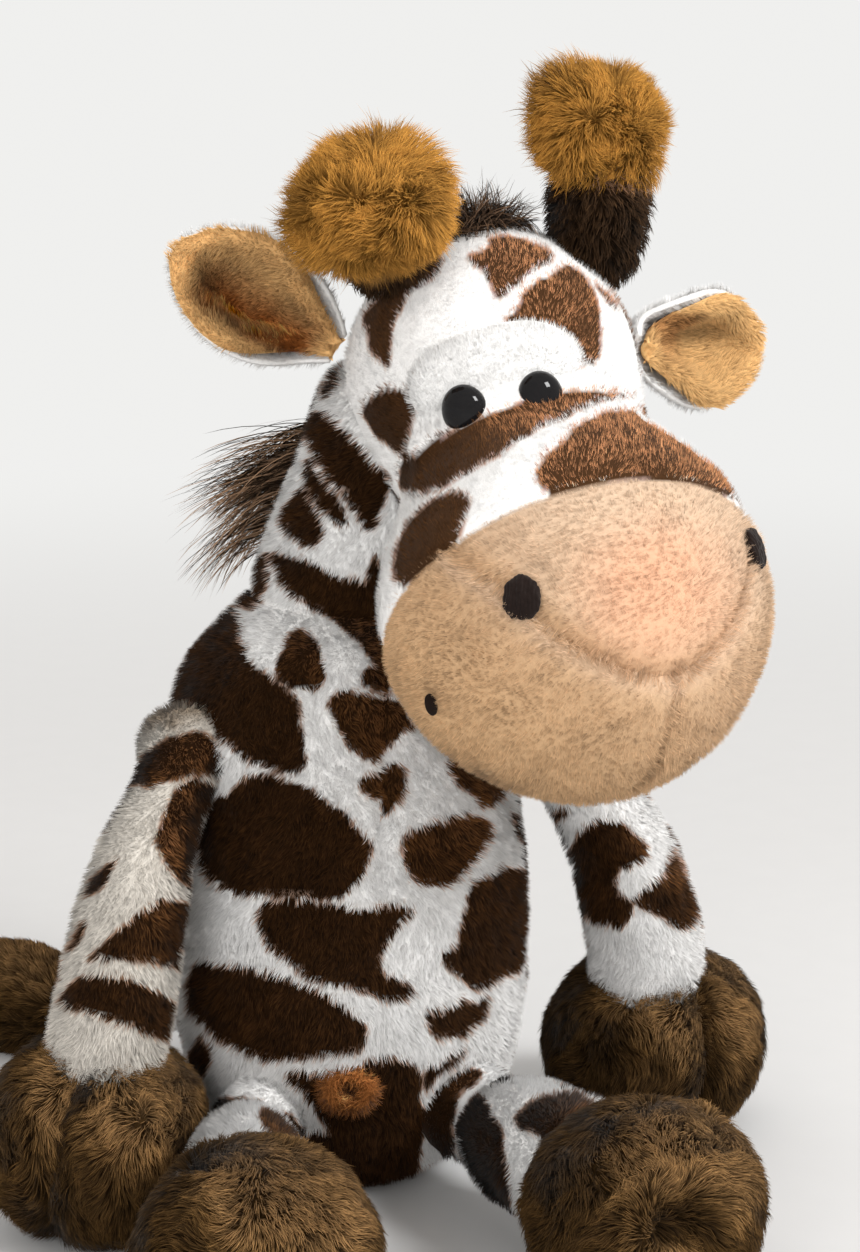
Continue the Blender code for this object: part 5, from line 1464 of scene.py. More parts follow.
def head_tint(points, normals):
    tan = np.array(TAN) * (1 + 0.06 * noise(points, 0.010, 71))[:, None]
    # painted shade colour: the tan turns warmer and a little lighter towards the lower left, which the key lamp leaves
    low = smoothstep(-0.3, 0.9, (points - np.array(MUZZLE)) @ np.array((-0.6, 0, -0.8)) / MUZZLE_RADIUS)
    tan = tan * (1 + low[:, None] * np.array((0.16, 0.14, 0.04)))
    # painted highlight: the tan turns paler where it faces the key lamp
    pale = 0.60 * smoothstep(0.2, 0.95, normals @ KEY_LIGHT_TOWARDS)[:, None]
    tan = tan * (1 - pale) + np.array(LIT_TAN) * pale
    blush = smoothstep(0.034, 0.006, np.linalg.norm(pixels(points) - np.array((655, 592)), axis=1) * PIXEL)
    blush = blush * smoothstep(0.0, 0.02, past_seam(points)) * 0.60
    tan = tan * (1 - blush[:, None]) + np.array(BLUSH) * blush[:, None]
    coat = coat_tint("head", points, normals)
    # painted light: the head's brown plush is lighter and paler where it faces the key lamp
    share = smoothstep(-0.5, 0.6, normals @ KEY_LIGHT_TOWARDS)[:, None]
    dark = smoothstep(0.5, 0.95, 1 - coat.max(axis=1))[:, None]
    coat = coat * (1 + HEAD_BROWN_LIGHT * share * dark) * LIT_HUE ** (share * dark)
    # painted highlight: the brown is lighter on the raised fold under the eyes
    coat = coat * (1 + 0.9 * bridge_fold(points) / FOLD * dark[:, 0])[:, None]
    front = smoothstep(-0.0006, 0.0006, past_seam(points))[:, None]
    return coat * (1 - front) + tan * front


def under_brow(points):
    axes = face_turn(BROW_MIDDLE, FACE_FRAME[2])
    away = (points - np.array(BROW_CENTRE)) @ axes.T
    sizes = np.array((BROW_HALF_WIDTH, BROW_HALF_HEIGHT * 0.92, BROW_DEPTH + BROW_PROUD - 0.0014)) - 0.0016
    return ((away / sizes) ** 2).sum(-1) < 1


def bridge_fold(points):
    """The top of the muzzle rises in a fold right under the eyes."""
    best = np.full(points.shape[:-1], 1e9)
    for turn in np.linspace(-30, 30, 25):
        way = towards(FACE_FRAME, math.radians(turn), -FOLD_DROP - math.radians(abs(turn) * 0.10))
        spot = np.array(CRANIUM + way * (CRANIUM_RADIUS + 0.001))
        best = np.minimum(best, np.linalg.norm(points - spot, axis=-1))
    return FOLD * np.exp(-(best / FOLD_WIDTH) ** 2)


def stitch_place(sign):
    way = towards(MUZZLE_FRAME, sign * STITCH_SPREAD, STITCH_LIFT - STITCH_DROP)
    return np.array(MUZZLE + way * (MUZZLE_RADIUS - STITCH_RADIUS - 0.0004)), way


def dress_head():
    rng = np.random.default_rng(31)
    skin = surface(HEAD, MUZZLE_FRAME[1], 0.0016)
    lumps(skin, 0.0010, 0.034, 3)
    settle(skin, COAT_SINK)
    push(skin, bridge_fold(skin["points"]))
    flat = skin["points"]
    seams = crease(past_seam(flat), 0.0024, 0.0010)
    for sign in (-1, 1):
        seams = seams - DIMPLE * np.exp(-(np.linalg.norm(flat - stitch_place(sign)[0], axis=-1) / DIMPLE_WIDTH) ** 2)
    for number in range(3):
        inside = past_seam(flat) > 0
        seams += np.where(inside, crease(edge_distance(flat, number), 0.0034, 0.0015), 0)
    push(skin, seams)
    colours = tint_grid(skin, head_tint)
    middles = (skin["points"][:-1] + skin["points"][1:]) / 2
    middles = (middles + np.roll(middles, -1, 1)) / 2
    panel = panel_of(middles.reshape(-1, 3)).reshape(middles.shape[:2])
    parts = (("head_skin", 0, ("head_cover", "head_filling"), "coat"),
             ("snout_skin", 1, ("snout_upper_panel",), "tan"),
             ("chin_skin_r", 2, ("chin_panel_r",), "tan"), ("chin_skin_l", 3, ("chin_panel_l",), "tan"))
    for name, number, nodes, slot in parts:
        obj = skin_mesh(name, skin, CLOTH, colours, panel == number)
        thicken(obj, PANEL_WALL)
        finish_skin(obj, "head", nodes)
    coat = sample(skin, COAT_PILE["density"] * DENSE, rng, panel == 0)
    hidden = inside_neck(coat["points"]) | under_brow(coat["points"])
    coat = pick(coat, ~hidden)
    raised = bridge_fold(coat["points"]) / FOLD
    grow("head_pile", "head", coat, -coat["along"], COAT_PILE, head_tint(coat["points"], coat["normals"]),
         PILE, rng, clump=COAT_CLUMP, lengths=1 + 0.35 * raised)
    snout = sample(skin, TAN_PILE["density"] * DENSE, rng, panel > 0)
    mouth = np.array(MUZZLE + MOUTH * MUZZLE_RADIUS)
    comb = unit(snout["points"] - mouth)
    near = np.zeros(len(comb))
    border = np.exp(-(past_seam(snout["points"]) / 0.004) ** 2)
    for number, edge in enumerate(EDGES):
        close = np.exp(-(edge_distance(snout["points"], number) / 0.0042) ** 2)
        near = np.maximum(near, close)
        across = np.cross(np.array(MOUTH), edge)
        level = (snout["points"] - np.array(MUZZLE)) @ across - SEAM_SAG[number] * 0.7
        comb = comb - across * (np.sign(level) * close * 1.3)[:, None]
    comb = unit(comb)
    grow("snout_pile", "head", snout, comb, TAN_PILE,
         head_tint(snout["points"], snout["normals"]) * (1 + 0.24 * near)[:, None], PILE, rng, clump=(0.0024, 0.60),
         root_dark=0.50, lengths=(1 + 0.75 * near) * (1 - 0.38 * border))


def thicken(obj, wall):
    modifier = obj.modifiers.new("cloth", "SOLIDIFY")
    modifier.thickness = wall
    modifier.offset = -1


def inside_neck(points):
    start, end = np.array(NECK_ROOT), np.array(NECK_TOP)
    way = unit(end - start)
    away = points - start
    level = away @ way
    return (np.linalg.norm(away - level[:, None] * way, axis=1) < NECK_RADIUS * 0.97) & (level < 0.085)


EYE_LOW = {"r": 0.0006, "l": 0.0022}   # how far an eye sinks behind the bridge's fold
BROW_MIDDLE = towards(FACE_FRAME, 0, BROW_RISE)
BROW_DEPTH = CRANIUM_RADIUS - math.sqrt(CRANIUM_RADIUS ** 2 - BROW_HALF_WIDTH ** 2)
BROW_CENTRE = CRANIUM + BROW_MIDDLE * (CRANIUM_RADIUS - BROW_DEPTH)


def face_turn(direction, up):
    across = up.cross(direction).normalized()
    upright = direction.cross(across).normalized()
    return np.array((across, upright, direction))


def ball_surface(centre, axes, sizes, spacing=0.0012):
    """A stretched ball: axes are rows of unit vectors, and the last is its pole."""
    rows_count = max(8, int(math.pi * max(sizes) / spacing))
    around = max(16, 2 * int(math.pi * max(sizes) / spacing))
    rise = np.linspace(-math.pi / 2, math.pi / 2, rows_count)
    turn = np.linspace(0, 2 * math.pi, around, endpoint=False)
    local = np.stack([np.outer(np.cos(rise), np.cos(turn)) * sizes[0], np.outer(np.cos(rise), np.sin(turn)) * sizes[1],
                      np.outer(np.sin(rise), np.ones(around)) * sizes[2]], -1)
    points = np.array(centre) + local @ np.array(axes)
    normals, along = grid_normals(points)
    return {"points": points, "normals": normals, "along": along, "lateral": np.array(axes[0])}


def dress_brow():
    rng = np.random.default_rng(32)
    axes = face_turn(BROW_MIDDLE, FACE_FRAME[2])
    sizes = (BROW_HALF_WIDTH, BROW_HALF_HEIGHT * 0.92, BROW_DEPTH + BROW_PROUD - 0.0014)
    skin = ball_surface(BROW_CENTRE, axes, sizes)
    white = lambda p, n: plain_tint(WHITE, p, 0.02)
    obj = skin_mesh("brow_skin", skin, CLOTH, tint_grid(skin, white))
    finish_skin(obj, "head", ("brow_panel",))
    roots = sample(skin, BROW_PILE["density"] * DENSE, rng)
    out = np.linalg.norm(roots["points"] - np.array(CRANIUM), axis=1) - CRANIUM_RADIUS
    ahead = dot(roots["points"] - np.array(BROW_CENTRE), np.array(BROW_MIDDLE)[None])
    roots = pick(roots, (out > -0.0006) & (ahead > 0))
    for side, sign in SIDES:
        way = towards(FACE_FRAME, sign * EYE_SPREAD, -EYE_DROP)
        seat = CRANIUM + way * (CRANIUM_RADIUS + BROW_PROUD) - FACE_FRAME[2] * EYE_LOW[side]
        roots = pick(roots, ~hidden_by(roots, seat, EYE_RADIUS * 1.12))
    up = np.tile(np.array(FACE_FRAME[2]), (len(roots["points"]), 1))
    comb = up - roots["normals"] * dot(up, roots["normals"])[:, None]
    grow("brow_pile", "head", roots, comb, BROW_PILE, plain_tint(WHITE, roots["points"], 0.02), PILE, rng,
         root_dark=0.75, bias=np.array(UP) * 0.30 - LOOK * 0.20)


EYE_SIZES = (EYE_RADIUS * 1.06, EYE_RADIUS * 1.22, EYE_HALF_DEPTH * 1.15)


def dress_eyes():
    for side, sign in SIDES:
        way = towards(FACE_FRAME, sign * EYE_SPREAD, -EYE_DROP)
        seat = CRANIUM + way * (CRANIUM_RADIUS + BROW_PROUD) - FACE_FRAME[2] * EYE_LOW[side]
        skin = ball_surface(seat, face_turn(way, FACE_FRAME[2]), EYE_SIZES, 0.0005)
        black = np.zeros(skin["points"].shape)
        obj = skin_mesh("eye_dome_" + side, skin, EYE_GLOSS, black)
        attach(obj, "head")
        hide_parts("eye_" + side, "eye_washer_" + side)


def dress_nostrils():
    for side, sign in SIDES:
        way = towards(MUZZLE_FRAME, sign * NOSTRIL_SPREAD, NOSTRIL_RISE)
        at = MUZZLE + way * (MUZZLE_RADIUS - NOSTRIL_PROUD)
        axes = face_turn(way, MUZZLE_FRAME[2])
        skin = ball_surface(at, axes, (NOSTRIL_RADIUS * 0.95, NOSTRIL_RADIUS * 1.05, 1.8 * NOSTRIL_PROUD), 0.00035)
        away = skin["points"] - np.array(at)
        ragged = 1 + 0.07 * noise(skin["points"], 0.0045, 76) + 0.07 * noise(skin["points"], 0.0014, 79)
        skin["points"] = np.array(at) + away * ragged[..., None]
        level = away @ axes[0] + 0.0006 * noise(skin["points"], 0.003, 77)
        ridge = np.abs(np.sin(level / 0.00055 * math.pi / 2))
        push(skin, ridge * 0.00016 - 0.00008 + 0.0003 * noise(skin["points"], 0.0016, 78))
        dark = lambda p, n: plain_tint(NOSTRIL_THREAD, p, 0.3)
        obj = skin_mesh("nostril_pad_" + side, skin, THREAD, tint_grid(skin, dark))
        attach(obj, "head")
        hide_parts("nostril_" + side)
        at, way = stitch_place(sign)
        along = (MUZZLE_FRAME[2] - way * way.dot(MUZZLE_FRAME[2])).normalized()
        skin = ball_surface(at, face_turn(way, along), (STITCH_PULLED, STITCH_LENGTH / 2, STITCH_DEPTH), 0.0002)
        obj = skin_mesh("mouth_stitch_thread_" + side, skin, THREAD, tint_grid(skin, dark))
        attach(obj, "head")
        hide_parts("mouth_stitch_" + side)


def horn_forms(sign, spread, pitch, lean, splay):
    forward, lateral, up = CRANIUM_FRAME
    level = up * math.cos(pitch) + forward * math.sin(pitch)
    out = level * math.cos(spread) + lateral * math.sin(spread) * sign
    root = CRANIUM + out * (CRANIUM_RADIUS + HORN_PROUD)
    axis = (up * math.cos(lean) + forward * math.sin(lean)) * math.cos(splay) + lateral * sign * math.sin(splay)
    axis.normalize()
    rows = []
    for share, girth in BALL_SHARES[:3]:
        rows.append(station(root + axis * (share * HORN_ROOT_RADIUS), girth * HORN_ROOT_RADIUS,
                            girth * HORN_ROOT_RADIUS))
    for share, girth in HORN_SHARES:
        rows.append(station(root + axis * (share * HORN_LENGTH), girth * HORN_RADIUS, girth * HORN_RADIUS))
    middle = root + axis * (HORN_LENGTH + POMPOM_RADIUS * POMPOM_SINK_SHARE)
    pompom = [station(middle + axis * (share * POMPOM_RADIUS), girth * POMPOM_RADIUS, girth * POMPOM_RADIUS)
              for share, girth in BALL_SHARES]
    return rows, pompom, middle, axis, root


def dress_horn(side, *shape):
    rng = np.random.default_rng(40 + ord(side))
    rows, pompom, middle, axis, root = horn_forms(*shape)
    forward = CRANIUM_FRAME[0]
    body = "horn_" + side
    skin = surface(rows, forward, 0.0014)
    dark = lambda p, n: plain_tint(STALK, p)
    obj = skin_mesh("horn_stalk_skin_" + side, skin, CLOTH, tint_grid(skin, dark))
    finish_skin(obj, body, ("horn_stalk_" + side, "horn_filling_" + side))
    roots = sample(skin, STALK_PILE["density"] * DENSE, rng)
    roots = pick(roots, ~hidden_by(roots, CRANIUM, CRANIUM_RADIUS))
    grow("horn_stalk_pile_" + side, body, roots, -roots["along"], STALK_PILE,
         plain_tint(STALK, roots["points"], 0.25), PILE, rng, levels=3, clump=(0.004, 0.5), root_dark=0.45,
         lengths=rng.uniform(0.8, 1.5, len(roots["points"])))
    core = surface(pompom, forward, 0.0014)
    settle(core, POMPOM_SINK)
    scale, shift, pile_share = POMPOM_FIT[side]
    centre = np.array(middle)
    core["points"] = centre + (core["points"] - centre) * np.array(scale) + np.array(shift)
    for way, height, wide in LOBES[side]:
        turn = np.arccos(np.clip(unit(core["points"] - centre - np.array(shift)) @ unit(np.array(way)), -1, 1))
        push(core, height * np.exp(-(turn / wide) ** 2))
    push(core, 0.0022 * noise(core["points"], 0.013, 64 + ord(side)) + 0.0012 * noise(core["points"], 0.006, 65))
    gold = lambda p, n: plain_tint(GOLD, p)
    # painted shade: the core under the pile is darker than the strands, as the gaps between them
    ball = skin_mesh("pompom_core_" + side, core, CLOTH, tint_grid(core, gold) * 0.45)
    finish_skin(ball, body, ("horn_pompom_" + side,))
    roots = sample(core, POMPOM_PILE["density"] * DENSE, rng)
    drift = np.stack([noise(roots["points"], 0.008, 70 + k + ord(side)) for k in range(3)], -1)
    sweep = np.array(axis)[None] * 0.15 + drift - 0.25 * np.array(UP)
    comb = unit(sweep - roots["normals"] * dot(sweep, roots["normals"])[:, None] + 1e-6)
    lengths = pile_share * (0.95 + 0.30 * noise(roots["points"], 0.007, 95 + ord(side)))
    lengths = lengths * (1 + 0.25 * (rng.random(len(lengths)) > 0.93))
    grow("pompom_pile_" + side, body, roots, comb, POMPOM_PILE, plain_tint(GOLD, roots["points"], 0.14),
         PILE, rng, levels=3, clump=POMPOM_CLUMP, root_dark=0.18, lengths=lengths, bias=np.array(POMPOM_BIAS))


def ear_points(root, along, across, outward, lift, width_share, rows=40, columns=31):
    """The cupped leaf as a fine grid, from the same rows as its cage."""
    cage = np.zeros((len(EAR_SHARES) + 2, len(EAR_COLUMNS) + 2, 3))
    shares = [EAR_SHARES[0], *EAR_SHARES, EAR_SHARES[-1]]
    sides = [EAR_COLUMNS[0], *EAR_COLUMNS, EAR_COLUMNS[-1]]
    for i, (share, girth) in enumerate(shares):
        for j, side in enumerate(sides):
            sink = EAR_CUP * ((side * width_share) ** 2 - EAR_SINK_SHARE) * min(girth * EAR_CUP_SHARE, 1)
            point = root + along * (share * EAR_LENGTH) + across * (side * girth * width_share * EAR_HALF_WIDTH)
            cage[i, j] = np.array(point + outward * (sink + lift))

    def bspline(values, count):
        spans = len(values) - 3
        spots = np.linspace(0, spans, count)
        out = []
        for spot in spots:
            index = min(int(spot), spans - 1)
            t = spot - index
            a, b, c, d = values[index:index + 4]
            out.append(((1 - t) ** 3 * a + (3 * t ** 3 - 6 * t ** 2 + 4) * b
                        + (-3 * t ** 3 + 3 * t ** 2 + 3 * t + 1) * c + t ** 3 * d) / 6)
        return np.array(out)

    ends = cage.copy()
    ends[0] = 2 * cage[0] - cage[2]
    ends[-1] = 2 * cage[-1] - cage[-3]
    ends[:, 0] = 2 * ends[:, 1] - ends[:, 2]
    ends[:, -1] = 2 * ends[:, -2] - ends[:, -3]
    fine = bspline(ends, rows)
    return bspline(fine.transpose(1, 0, 2), columns).transpose(1, 0, 2)


def sheet_mesh(name, points, normals, wall, material, colours):
    """A closed sheet: the grid, its back a wall behind it, and a rim round both."""
    rows, columns = points.shape[:2]
    count = rows * columns
    both = np.concatenate([points.reshape(-1, 3), (points - normals * wall).reshape(-1, 3)])
    faces = []
    for i in range(rows - 1):
        for j in range(columns - 1):
            a, b = i * columns + j, i * columns + j + 1
            c, d = a + columns, b + columns
            faces.append((a, b, d, c))
            faces.append((count + a, count + c, count + d, count + b))
    rim = ([(0, j) for j in range(columns)] + [(i, columns - 1) for i in range(1, rows)]
           + [(rows - 1, j) for j in range(columns - 2, -1, -1)] + [(i, 0) for i in range(rows - 2, 0, -1)])
    for (i, j), (k, m) in zip(rim, rim[1:] + rim[:1]):
        a, b = i * columns + j, k * columns + m
        faces.append((a, count + a, count + b, b))
    return new_mesh(name, both, faces, material, np.concatenate([colours.reshape(-1, 3)] * 2))


def open_normals(points, outward):
    normals = unit(np.cross(np.gradient(points, axis=1), np.gradient(points, axis=0)))
    if dot(normals, np.array(outward)).mean() < 0:
        normals = -normals
    return normals


def sheet_roots(points, normals, density, rng):
    a, b, c, d = points[:-1, :-1], points[:-1, 1:], points[1:, :-1], points[1:, 1:]
    area = (np.linalg.norm(np.cross(b - a, c - a), axis=-1) + np.linalg.norm(np.cross(b - d, c - d), axis=-1)) / 2
    count = int(area.sum() * density)
    cells = rng.choice(area.size, count, p=(area / area.sum()).ravel())
    row, side = cells // area.shape[1], cells % area.shape[1]
    u, v = rng.random(count)[:, None], rng.random(count)[:, None]

    def mixed(values):
        low = values[row, side] * (1 - v) + values[row, side + 1] * v
        high = values[row + 1, side] * (1 - v) + values[row + 1, side + 1] * v
        return low * (1 - u) + high * u

    along = unit(mixed(np.gradient(points, axis=0)))
    return {"points": mixed(points), "normals": unit(mixed(normals)), "along": along}


def shaped(points, root, along, across):
    """Narrows the lining towards the ear's root, and takes it over the rim at the tip."""
    away = points - np.array(root)
    reach = (away @ np.array(along)) / EAR_LENGTH
    level = away @ np.array(across)
    wider = -0.34 + 0.42 * smoothstep(0.05, 0.62, reach)
    onward = 0.0020 * smoothstep(0.5, 1.0, reach)
    return points + np.array(across) * (level * wider)[..., None] + np.array(along) * onward[..., None]


def hollowed(points, root, along, across, outward):
    """Folds the ear into a deep valley off its middle line."""
    away = points - np.array(root)
    reach = (away @ np.array(along)) / EAR_LENGTH
    level = (away @ np.array(across)) / EAR_HALF_WIDTH
    ends = smoothstep(1.02, 0.70, reach) * smoothstep(-0.02, 0.2, reach)
    above = np.clip((level - VALLEY_PLACE) / (0.95 - VALLEY_PLACE), 0, 1)
    below = np.clip((VALLEY_PLACE - level) / (0.95 + VALLEY_PLACE), 0, 1)
    deep = 1 - smoothstep(0, 1, above ** 0.8) - smoothstep(0, 1, below ** 0.9)
    return points - np.array(outward) * (deep * ends * VALLEY)[..., None]


def rim_distance(points):
    """How far each point of an open sheet lies from its outline."""
    rim = np.concatenate([points[0], points[-1], points[:, 0], points[:, -1]])
    flat = points.reshape(-1, 3)
    best = np.full(len(flat), 1e9)
    for place in rim:
        best = np.minimum(best, ((flat - place) ** 2).sum(-1))
    return np.sqrt(best).reshape(points.shape[:2])


def dress_ear(side, sign, latitude, rise, sweep):
    rng = np.random.default_rng(50 + ord(side))
    forward, lateral, up = CRANIUM_FRAME
    level = lateral * sign * math.cos(EAR_SETBACK) - forward * math.sin(EAR_SETBACK)
    root = CRANIUM + (level * math.cos(latitude) + up * math.sin(latitude)) * CRANIUM_RADIUS
    level = lateral * sign * math.cos(sweep) - forward * math.sin(sweep)
    along = (level * math.cos(rise) + up * math.sin(rise)).normalized()
    outward = (forward - along * forward.dot(along)).normalized()
    across = along.cross(outward).normalized()
    body = "ear_" + side
    back = hollowed(ear_points(root, along, across, outward, 0.0, 1.0), root, along, across, outward)
    normals = open_normals(back, outward)
    white = plain_tint(WHITE, back.reshape(-1, 3), 0.02).reshape(back.shape)
    obj = sheet_mesh("ear_back_skin_" + side, back, normals, EAR_WALL, CLOTH, white)
    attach(obj, body)
    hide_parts("ear_back_" + side)
    roots = sheet_roots(back - normals * EAR_WALL, -normals, EAR_PILE["density"] * DENSE, rng)
    level = (roots["points"] - np.array(root)) @ np.array(across) / EAR_HALF_WIDTH
    comb = unit(np.array(across) * (1.5 * level)[:, None] + np.array(along) * 0.8)
    grow("ear_back_pile_" + side, body, roots, comb, EAR_PILE,
         plain_tint(WHITE, roots["points"], 0.02), PILE, rng, bias=np.array(outward) * 1.6 + np.array(UP) * 0.6)
    roots = sheet_roots(back, normals, EAR_PILE["density"] * DENSE, rng)
    grow("ear_front_pile_" + side, body, roots, roots["along"], EAR_PILE,
         plain_tint(WHITE, roots["points"], 0.02), PILE, rng, bias=np.array(outward) * 0.5 + np.array(UP) * 0.6)
    lining = ear_points(root, along, across, outward, (EAR_WALL + SEWN_GAP) * EAR_LIFT_SHARE, EAR_LINING_SHARE,
                        64, 49)
    lining = hollowed(shaped(lining, root, along, across), root, along, across, outward)
    normals = open_normals(lining, outward)
    edge = rim_distance(lining)
    outer = np.sqrt(np.clip(1 - (1 - np.clip(edge / RIM_ROLL, 0, 1)) ** 2, 0, 1))
    roll = outer * np.exp(-(np.maximum(edge - RIM_ROLL, 0) / ROLL_FALL) ** 2)
    lining = lining + normals * (roll * RIM_ROLL + 0.0006 * noise(lining.reshape(-1, 3), 0.007, 85).reshape(
        roll.shape))[..., None]
    normals = open_normals(lining, outward)

    def golden(points):
        away = points - np.array(root)
        reach = (away @ np.array(along)) / EAR_LENGTH
        level = (away @ np.array(across)) / EAR_HALF_WIDTH + 0.05 * noise(points, 0.006, 84)
        # painted shade: the valley beside the lower lip is darker; painted light: the rolled rim is lighter
        deep = smoothstep(-0.66, -0.46, level) * smoothstep(0.50, -0.26, level)
        deep = deep * smoothstep(VALLEY_SHADE_END[side] + 0.2, VALLEY_SHADE_END[side], reach) * smoothstep(0.06, 0.20, reach)
        deep = (VALLEY_SHADE_SHARE[side] * deep * (1 + 0.2 * noise(points, 0.006, 83)))[:, None]
        rim = smoothstep(0.72, 0.95, np.hypot(level, (reach - 0.52) / 0.5))
        tint = np.array(LINING) * (0.86 + 0.26 * rim)[:, None] * (1 - deep) + np.array(LINING_SHADE) * deep
        return tint * (1 + 0.07 * noise(points, 0.005, 81))[:, None]

    obj = sheet_mesh("ear_lining_skin_" + side, lining, normals, EAR_WALL, CLOTH,
                     golden(lining.reshape(-1, 3)).reshape(lining.shape))
    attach(obj, body)
    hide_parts("ear_lining_" + side)
    roots = sheet_roots(lining, normals, LINING_PILE["density"] * DENSE, rng)
    grow("ear_lining_pile_" + side, body, roots, roots["along"], LINING_PILE, golden(roots["points"]),
         PILE, rng, clump=(0.0012, 0.60), root_dark=0.34, bias=np.array(outward) * 0.3 + np.array(UP) * 0.35)


# Hair

def hair(name, body, starts, ways, lengths, colour, rng, nodes, droop, width=0.00035, levels=7, curl=0.15):
    """Long loose strands that leave along their ways and droop."""
    count = len(starts)
    lock = rng.integers(0, max(1, int(count / LOCK_STRANDS)), count)
    first = np.full(lock.max() + 1, -1)
    first[lock[::-1]] = np.arange(count)[::-1]
    way = unit(unit(ways) * 0.35 + unit(ways)[first[lock]] * 0.65)
    starts = starts * 0.35 + starts[first[lock]] * 0.65
    spines = [starts]
    bend = rng.normal(0, curl * 0.6, (count, 3)) + rng.normal(0, curl * 2.2, (lock.max() + 1, 3))[lock]
    for step in range(levels - 1):
        way = unit(way + bend / levels + np.array((0, 0, -droop / levels)))
        spines.append(spines[-1] + way * (lengths / (levels - 1))[:, None])
    spines = np.stack(spines, 1)
    side = unit(np.cross(way, unit(rng.normal(0, 1, (count, 3)))))
    tint = plain_tint(colour, starts, 0.3) * (1 + rng.normal(0, 0.18, count))[:, None]
    shades = np.stack([tint * (0.8 + 1.6 * k / (levels - 1)) for k in range(levels)], 1)
    shade = unit(np.cross(side, way))
    obj = strand_mesh(name, spines, side, np.full(count, width), shade, np.clip(shades, 0, 1), PILE)
    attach(obj, body)
    if nodes:
        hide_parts(*nodes)
    return obj


def dress_hair():
    rng = np.random.default_rng(61)
    away = np.array(polar(MANE_TURN))
    count = int(950 * DENSE)
    share = rng.uniform(MANE_START, MANE_END + 0.05, count)
    turn = rng.normal(0, 0.10, count)
    axis = np.array(NECK_TOP - NECK_ROOT)
    across = unit(np.cross(axis, away))
    out = away * np.cos(turn)[:, None] + across * np.sin(turn)[:, None]
    starts = np.array(NECK_ROOT) + share[:, None] * axis + out * (NECK_RADIUS * 0.97)
    spread = (share - MANE_START) / (MANE_END - MANE_START)
    reach = np.interp(spread, [row[0] for row in MANE_SHARES], [row[1] for row in MANE_SHARES])
    ways = out + rng.normal(0, 0.22, (count, 3)) + np.array((0, 0, 0.15))
    lengths = (0.020 + 0.023 * reach) * rng.uniform(0.6, 1.15, count)
    hair("mane_locks", "neck", starts, ways, lengths, MANE_HAIR, rng, ("mane",), 1.3, width=0.00042)
    forward, lateral, up = (np.array(v) for v in CRANIUM_FRAME)
    count = int(1500 * DENSE)
    turn = rng.uniform(-0.30, 0.30, count)
    pitch = rng.normal(0, 0.10, count)
    out = unit(up + lateral * turn[:, None] - forward * pitch[:, None])
    starts = np.array(CRANIUM) + out * CRANIUM_RADIUS * 0.985
    ways = out + rng.normal(0, 0.5, (count, 3)) + 0.55 * lateral + 0.3 * forward
    hair("forelock_hair", "head", starts, ways, 0.0125 * rng.uniform(0.4, 1.3, count), FORELOCK_HAIR, rng,
         ("forelock",), 1.7, curl=0.55)
    count = int(2600 * DENSE)
    turn = np.radians(rng.uniform(100, 172, count))
    side = rng.normal(0, 0.075, count)
    out = unit(forward * np.cos(turn)[:, None] + up * np.sin(turn)[:, None] + lateral * side[:, None])
    starts = np.array(CRANIUM) + out * CRANIUM_RADIUS * 0.985
    ways = out + rng.normal(0, 0.25, (count, 3)) - forward * 0.4
    hair("crest_hair", "head", starts, ways, 0.017 * rng.uniform(0.6, 1.2, count), MANE_HAIR, rng, ("mane_crest",),
         1.1)


def dress_navel():
    """A gathered ring of short fuzz round a dark hollow."""
    rng = np.random.default_rng(71)
    at = np.array(torso_surface(NAVEL_HEIGHT, NAVEL_TURN))
    outward = np.array(polar(NAVEL_TURN))
    across = unit(np.cross(np.array(UP), outward))
    rows, around = 73, 20
    turns = np.linspace(0, 2 * math.pi, rows)
    rounds = np.linspace(0, 2 * math.pi, around, endpoint=False)
    points = np.zeros((rows, around, 3))
    for i, turn in enumerate(turns):
        ring = across * math.cos(turn) * 1.15 + np.array(UP) * math.sin(turn) * 0.92
        thick = NAVEL_THREAD * (0.78 + 0.09 * math.sin(5 * turn + 1) + 0.06 * math.sin(11 * turn))
        for j, angle in enumerate(rounds):
            points[i, j] = (at + ring * (NAVEL_RADIUS * 0.8 + thick * 1.3 * math.cos(angle))
                            + outward * (thick * 0.9 * math.sin(angle) - 0.0006))
    skin = {"points": points, "normals": unit(points - points.mean(axis=1, keepdims=True)),
            "along": unit(np.gradient(points, axis=0))}

    def rust_and_hollow_shade(spots):
        # painted shade: the hollow's middle is darker
        inner = smoothstep(NAVEL_RADIUS * 0.95, NAVEL_RADIUS * 0.35, np.linalg.norm(spots - at, axis=-1))[:, None]
        tint = np.array(NAVEL_RUST) * (1 - inner) + np.array(BROWN) * 0.5 * inner
        return tint * (1 + 0.2 * noise(spots, 0.003, 88))[:, None]

    faces = []
    for i in range(rows - 1):
        for j in range(around):
            k, m = (i + 1) % (rows - 1), (j + 1) % around
            faces.append((i * around + j, k * around + j, k * around + m, i * around + m))
    flat = points[:-1].reshape(-1, 3)
    obj = new_mesh("navel_pucker", flat, faces, CLOTH, rust_and_hollow_shade(flat))
    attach(obj, "torso")
    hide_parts("navel_ring")
    roots = sample(skin, 9.0e6 * DENSE, rng)
    roots = pick(roots, dot(roots["normals"], outward[None]) > -0.2)
    comb = unit(at - roots["points"]) * 0.5 + 0.7 * rng.normal(0, 1, roots["points"].shape)
    grow("navel_fuzz", "torso", roots, unit(comb), dict(EAR_PILE, length=0.0036, width=0.00030, lean=0.9),
         rust_and_hollow_shade(roots["points"]), PILE, rng, root_dark=0.5)


# Room, light and camera

